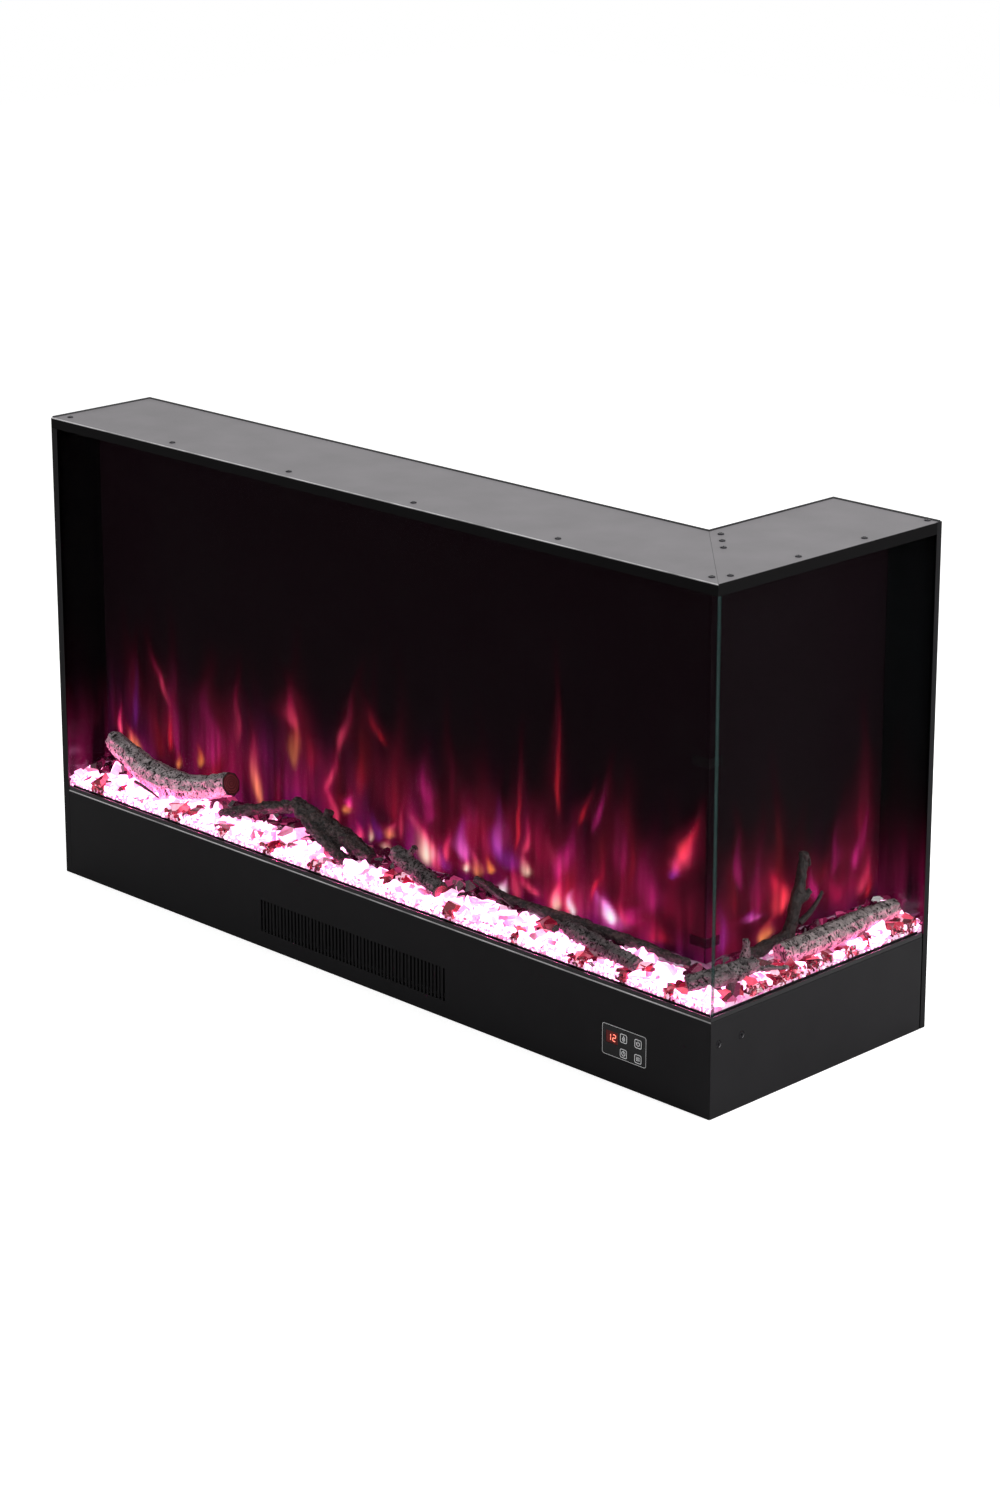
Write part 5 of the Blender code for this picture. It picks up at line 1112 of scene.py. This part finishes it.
# %% Turn one pan head
HEAD_RADIUS, HEAD_HEIGHT, HEAD_ROUNDING = 4.0 * MM, 1.9 * MM, 1.3 * MM
CROSS_LENGTH, CROSS_WIDTH, CROSS_DEPTH, CROSS_TURN = 4.6 * MM, 1.0 * MM, 1.1 * MM, 0.5
black_zinc = mottled("black_zinc_screw_steel", 1.5 * MM, 2.0, "#151416", "#3c3b3f",
                     {"Metallic": 1.0, "Roughness": 0.32})[0]


def bar(length, width, height, place):
    """A plain bar in its place."""
    select()
    bpy.ops.mesh.primitive_cube_add(size=1.0)
    bpy.ops.transform.resize(value=(length, width, height))
    bpy.ops.object.transform_apply(scale=True)
    bpy.context.object.data.transform(place)
    return bpy.context.object


def cut_away(piece, cutter):
    """Cuts the shape of a bar out of a piece and drops the bar."""
    select(piece)
    cut = piece.modifiers.new("recess", "BOOLEAN")
    cut.operation = "DIFFERENCE"
    cut.solver = "EXACT"
    cut.object = cutter
    bpy.ops.object.modifier_apply(modifier=cut.name)
    bpy.data.objects.remove(cutter)


select()
bpy.ops.mesh.primitive_cylinder_add(vertices=28, radius=HEAD_RADIUS, depth=HEAD_HEIGHT,
                                    location=(0, 0, HEAD_HEIGHT / 2))
bpy.ops.object.transform_apply(location=True)
pan_head = bpy.context.object
bpy.ops.object.mode_set(mode="EDIT")
bpy.ops.mesh.select_all(action="DESELECT")
bpy.ops.object.mode_set(mode="OBJECT")
for edge in pan_head.data.edges:
    edge.select = all(pan_head.data.vertices[v].co.z > HEAD_HEIGHT * 0.9 for v in edge.vertices)
bpy.ops.object.mode_set(mode="EDIT")
bpy.ops.mesh.bevel(offset=HEAD_ROUNDING, segments=4)
bpy.ops.object.mode_set(mode="OBJECT")
for turn in (0, math.pi / 2):
    place = Matrix.Translation((0, 0, HEAD_HEIGHT)) @ Matrix.Rotation(turn + CROSS_TURN, 4, "Z")
    cut_away(pan_head, bar(CROSS_LENGTH, CROSS_WIDTH, 2 * CROSS_DEPTH, place))
pan_head.data.materials.clear()
pan_head.data.materials.append(black_zinc)
print("pan head", len(pan_head.data.polygons), "faces")

# %% Screw down the covers and the rear panels
COVER_TOP = 648.0 * MM
SEAT = COVER_TOP - 0.2 * MM
MAIN_SCREWS = (-0.581, -0.368, -0.140, 0.088, 0.333, 0.574)
WING_SCREWS = (-0.164, -0.046, 0.073, 0.191)
MAIN_REAR, WING_REAR = -0.0272, 0.4302
MAIN_ROW = (-0.593, -0.427, -0.260, -0.093, 0.073, 0.240, 0.407)
WING_ROW = (0.010, 0.102, 0.194)
ROW_HEIGHTS = (0.006, 0.641)
COLUMN_HEIGHTS = (0.165, 0.325, 0.485)
FACE_BACK = Matrix.Rotation(-math.pi / 2, 4, "X")
FACE_LEFT = Matrix.Rotation(-math.pi / 2, 4, "Y")


def set_screws(name, places):
    """Pan heads at places, each a position and a turn, joined to one piece."""
    copies = []
    for number, place in enumerate(places):
        mesh = pan_head.data.copy()
        mesh.transform(place @ Matrix.Rotation(number * 0.9, 4, "Z"))
        copies.append(new_object(name, mesh))
    return joined(name, copies)


cover_places = [Matrix.Translation((x, -0.183, SEAT)) for x in MAIN_SCREWS]
cover_places += [Matrix.Translation((0.585, y, SEAT)) for y in WING_SCREWS]
keep(set_screws("cover_screws", cover_places))

main_rear = [(x, z) for z in ROW_HEIGHTS for x in MAIN_ROW] + [(MAIN_ROW[0], z) for z in COLUMN_HEIGHTS]
wing_rear = [(y, z) for z in ROW_HEIGHTS for y in WING_ROW] + [(WING_ROW[-1], z) for z in COLUMN_HEIGHTS]
rear_places = [Matrix.Translation((x, MAIN_REAR, z)) @ FACE_BACK for x, z in main_rear]
rear_places += [Matrix.Translation((WING_REAR, y, z)) @ FACE_LEFT for y, z in wing_rear]
keep(set_screws("rear_screws", rear_places))
print(len(cover_places) + len(rear_places), "screws set")

# %% Give the joint plate its screws
JOINT_SCREWS = ((0.45391, -0.03230), (0.47564, -0.05454), (0.49738, -0.07679))
plate = copy_of_node("mitre_joint_plate", "joint_plate_with_screws")
edit_all()
bpy.ops.mesh.bisect(plane_co=(0, 0, COVER_TOP - 0.5 * MM), plane_no=(0, 0, 1), use_fill=True,
                    clear_outer=True)
bpy.ops.object.mode_set(mode="OBJECT")
plate.data.materials.append(zinc)
heads = set_screws("joint_screws", [Matrix.Translation((x, y, SEAT)) for x, y in JOINT_SCREWS])
keep(joined(plate.name, [plate, heads]), replaces=("mitre_joint_plate",))

# %% [markdown]
# ## The dark edge line
# A thin black line runs round the top's left, rear and wing edges, where the covers meet the upright
# panels. Here a black cord draws it: one bent line with a round section, half sunk in the corner of
# the sheets.

# %% Lay the dark edge cord
DARK_LINE_RADIUS = 1.9
DARK_LINE_PATH = ((-598.1, -198.8), (-598.1, -30.7), (433.7, -30.7), (433.7, 197.7), (598.0, 197.7))
dark_line_points = [(x, y, COVER_TOP / MM, 1.0) for x, y in DARK_LINE_PATH]
# A black cord draws the dark line along these edges.
dark_edge_cord = round_line("cover_edge_dark_line", [(dark_line_points, False)], DARK_LINE_RADIUS)
for face in dark_edge_cord.data.polygons:
    face.use_smooth = True
dark_edge_cord.data.materials.append(black_plastic)
keep(dark_edge_cord)

# %% [markdown]
# ## The side screws
# The two screws in the side fascia are countersunk, so their heads lie flush with the sheet. A copy
# of each solid gets its cross cut in the same way as the pan heads, and stands in its place.

# %% Cut the side screws
SIDE_CROSS = ((2.0 * MM, 4.4 * MM, 0.9 * MM), (2.0 * MM, 0.9 * MM, 4.4 * MM))
for node in ("side_screw_front", "side_screw_rear"):
    low, high = (Vector(v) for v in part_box(node))
    middle = (low + high) / 2
    screw = copy_of_node(node, f"{node}_cross")
    for size in SIDE_CROSS:
        cut_away(screw, bar(*size, Matrix.Translation((high.x, middle.y, middle.z))))
    screw.data.materials.append(black_zinc)
    keep(screw, replaces=(node,))
bpy.data.objects.remove(pan_head)

# %% [markdown]
# ## The control panel
# The panel is gloss black acrylic. A fine pale line round it is a painted highlight of its edge. Four
# keys carry plain signs for flame, power, timer and heat, each in a pale outline that is a painted
# highlight of the key's edge, and a dark red window shows two digits. The signs and these lines are
# fine raised lines: curves with a round section, made meshes and pressed nearly flat on the keys. The
# finishes differ in shine: smeared gloss on the panel, an even gloss on the window, and matt print
# with a faint painted glow.

# %% Finish the panel
gloss_black, tree, shader, _, smear = mottled("gloss_black_cast_acrylic", 14 * MM, 5.0, "#08080a", "#101013",
                                              {"Specular IOR Level": 0.3})
haze = add_node(tree, "MapRange", {"Value": smear, "To Min": 0.10, "To Max": 0.26})
set_inputs(tree, shader, {"Roughness": haze})
refinish(gloss_black, "control_bezel")

window = mottled("dark_red_display_filter", 9 * MM, 2.0, "#240303", "#5c0806",
                 {"Roughness": 0.12, "Specular IOR Level": 0.3}, glow=0.5)[0]
refinish(window, "display_window")

# The print and the pale edge lines glow faintly: painted light.
print_and_highlight_white = mottled("pale_print_and_painted_edge_highlight", 2 * MM, 2.0, "#c9cacc", "#f2f3f4",
                      {"Roughness": 0.5}, glow=0.35)[0]

# A lit segment is dark red plastic, and only its light drifts between two tones.
SEGMENT_DRIFT = 1.5 * MM
lit_red, tree, shader, place = new_material("lit_red_segment")
spread = add_node(tree, "TexNoise", {"Vector": place, "Scale": 1 / SEGMENT_DRIFT})
colour = add_node(tree, "Mix", {0: spread, 6: linear("#ff3a24"), 7: linear("#ff9c84")})
set_inputs(tree, shader, {"Base Color": linear("#5a0a08"), "Roughness": 0.4, "Emission Color": colour,
                          "Emission Strength": 2.6})

# %% Draw the key signs
KEY_FACE, PANEL_FACE = -200.8, -200.2
SIGN_LINE, EDGE_HIGHLIGHT_LINE = 0.75, 0.45
PRESSED_FLAT = 0.3


def rounded_square(half_width, half_height, corner):
    """Points round a rectangle with rounded corners."""
    points = []
    for quarter in range(4):
        across = (half_width - corner) * (1 if quarter in (0, 3) else -1)
        up = (half_height - corner) * (1 if quarter in (0, 1) else -1)
        for step in range(5):
            turn = math.radians(90 * quarter + 22.5 * step)
            points.append((across + corner * math.cos(turn), up + corner * math.sin(turn)))
    return points


def arc(radius, start, end, steps=16):
    """Points on an arc, with angles in degrees from the right."""
    turns = [math.radians(start + (end - start) * i / steps) for i in range(steps + 1)]
    return [(radius * math.cos(t), radius * math.sin(t)) for t in turns]


def drawn(name, middle, face, lines, width):
    """Raised lines on a front face. Each line is its points in millimetres and whether it closes."""
    placed = [([(middle[0] + across, 0, middle[1] + up, 1.0) for across, up in points], closed)
              for points, closed in lines]
    piece = round_line(name, placed, width / 2, sides=1)
    piece.data.transform(Matrix.Translation((0, face * MM, 0)) @ Matrix.Diagonal((1, PRESSED_FLAT, 1, 1)))
    piece.data.materials.append(print_and_highlight_white)
    return piece


# The outline round each key is a painted highlight of the key's edge.
key_edge_highlight = (rounded_square(5.2, 5.2, 1.8), True)
flame_sign = [(0, 3.3), (1.5, 1.2), (2.1, -0.8), (1.4, -2.5), (0, -3.1), (-1.4, -2.5), (-2.1, -0.8),
              (-1.2, 0.6), (-0.5, 1.4)]
wave = [(-0.45, -2.6), (0.35, -1.3), (-0.35, 0), (0.45, 1.3), (-0.35, 2.6)]
signs = {
    "flame": ((462.2, 61.7), [key_edge_highlight, (flame_sign, True), ([(0, -1.9), (0.5, -0.7), (0, 0.3)], False)]),
    "power": ((485.7, 61.7), [key_edge_highlight, (arc(2.5, -235, 55), False), ([(0, 0.4), (0, 3.2)], False)]),
    "timer": ((462.2, 42.5), [key_edge_highlight, (arc(2.8, 0, 337.5, 15), True),
                              ([(0, 1.9), (0, 0), (1.5, 0)], False)]),
    "heat": ((485.7, 42.5), [key_edge_highlight] + [([(x + dx, z) for x, z in wave], False) for dx in (-1.9, 0, 1.9)]),
}
for sign, (middle, lines) in signs.items():
    keep(drawn(f"{sign}_key_sign", middle, KEY_FACE, lines, SIGN_LINE),
         body=f"key_{sign}_body")
# The line round the panel is a painted highlight of its edge.
panel_edge_highlight = [(rounded_square(35.4, 19.4, 3.0), True)]
keep(drawn("panel_edge_highlight_line", (462.5, 53.5), PANEL_FACE, panel_edge_highlight, EDGE_HIGHLIGHT_LINE))

# %% [markdown]
# A digit is seven bars in fixed places. Each lit bar is a block with its edges taken off, and the
# two digits are one piece, set in the face of the dark red window.

# %% Light the digits
DIGIT_FACE, DIGIT_MIDDLE = -199.95, 57.5
BAR_EDGE = 0.12 * MM
# How far the outer bars stand from a digit's middle, across and up, and each bar's size.
DIGIT_REACH = (2.4, 4.05)
FLAT_BAR, UPRIGHT_BAR = (3.6, 0.3, 1.0), (1.0, 0.3, 3.4)
SEGMENTS = {"top": (0, 1, FLAT_BAR), "middle": (0, 0, FLAT_BAR), "bottom": (0, -1, FLAT_BAR),
            "left_high": (-1, 0.5, UPRIGHT_BAR), "left_low": (-1, -0.5, UPRIGHT_BAR),
            "right_high": (1, 0.5, UPRIGHT_BAR), "right_low": (1, -0.5, UPRIGHT_BAR)}
DIGITS = ((438.0, ("right_high", "right_low")),
          (446.2, ("top", "right_high", "middle", "left_low", "bottom")))
bars = []
for middle, lit in DIGITS:
    for segment in lit:
        across, up, size = SEGMENTS[segment]
        spot = Vector((middle + across * DIGIT_REACH[0], DIGIT_FACE, DIGIT_MIDDLE + up * DIGIT_REACH[1]))
        bars.append(bar(*(side * MM for side in size), Matrix.Translation(spot * MM)))
        edit_all()
        bpy.ops.mesh.bevel(offset=BAR_EDGE, segments=1)
        bpy.ops.object.mode_set(mode="OBJECT")
digits = joined("display_digits", bars)
digits.data.materials.append(lit_red)
keep(digits)
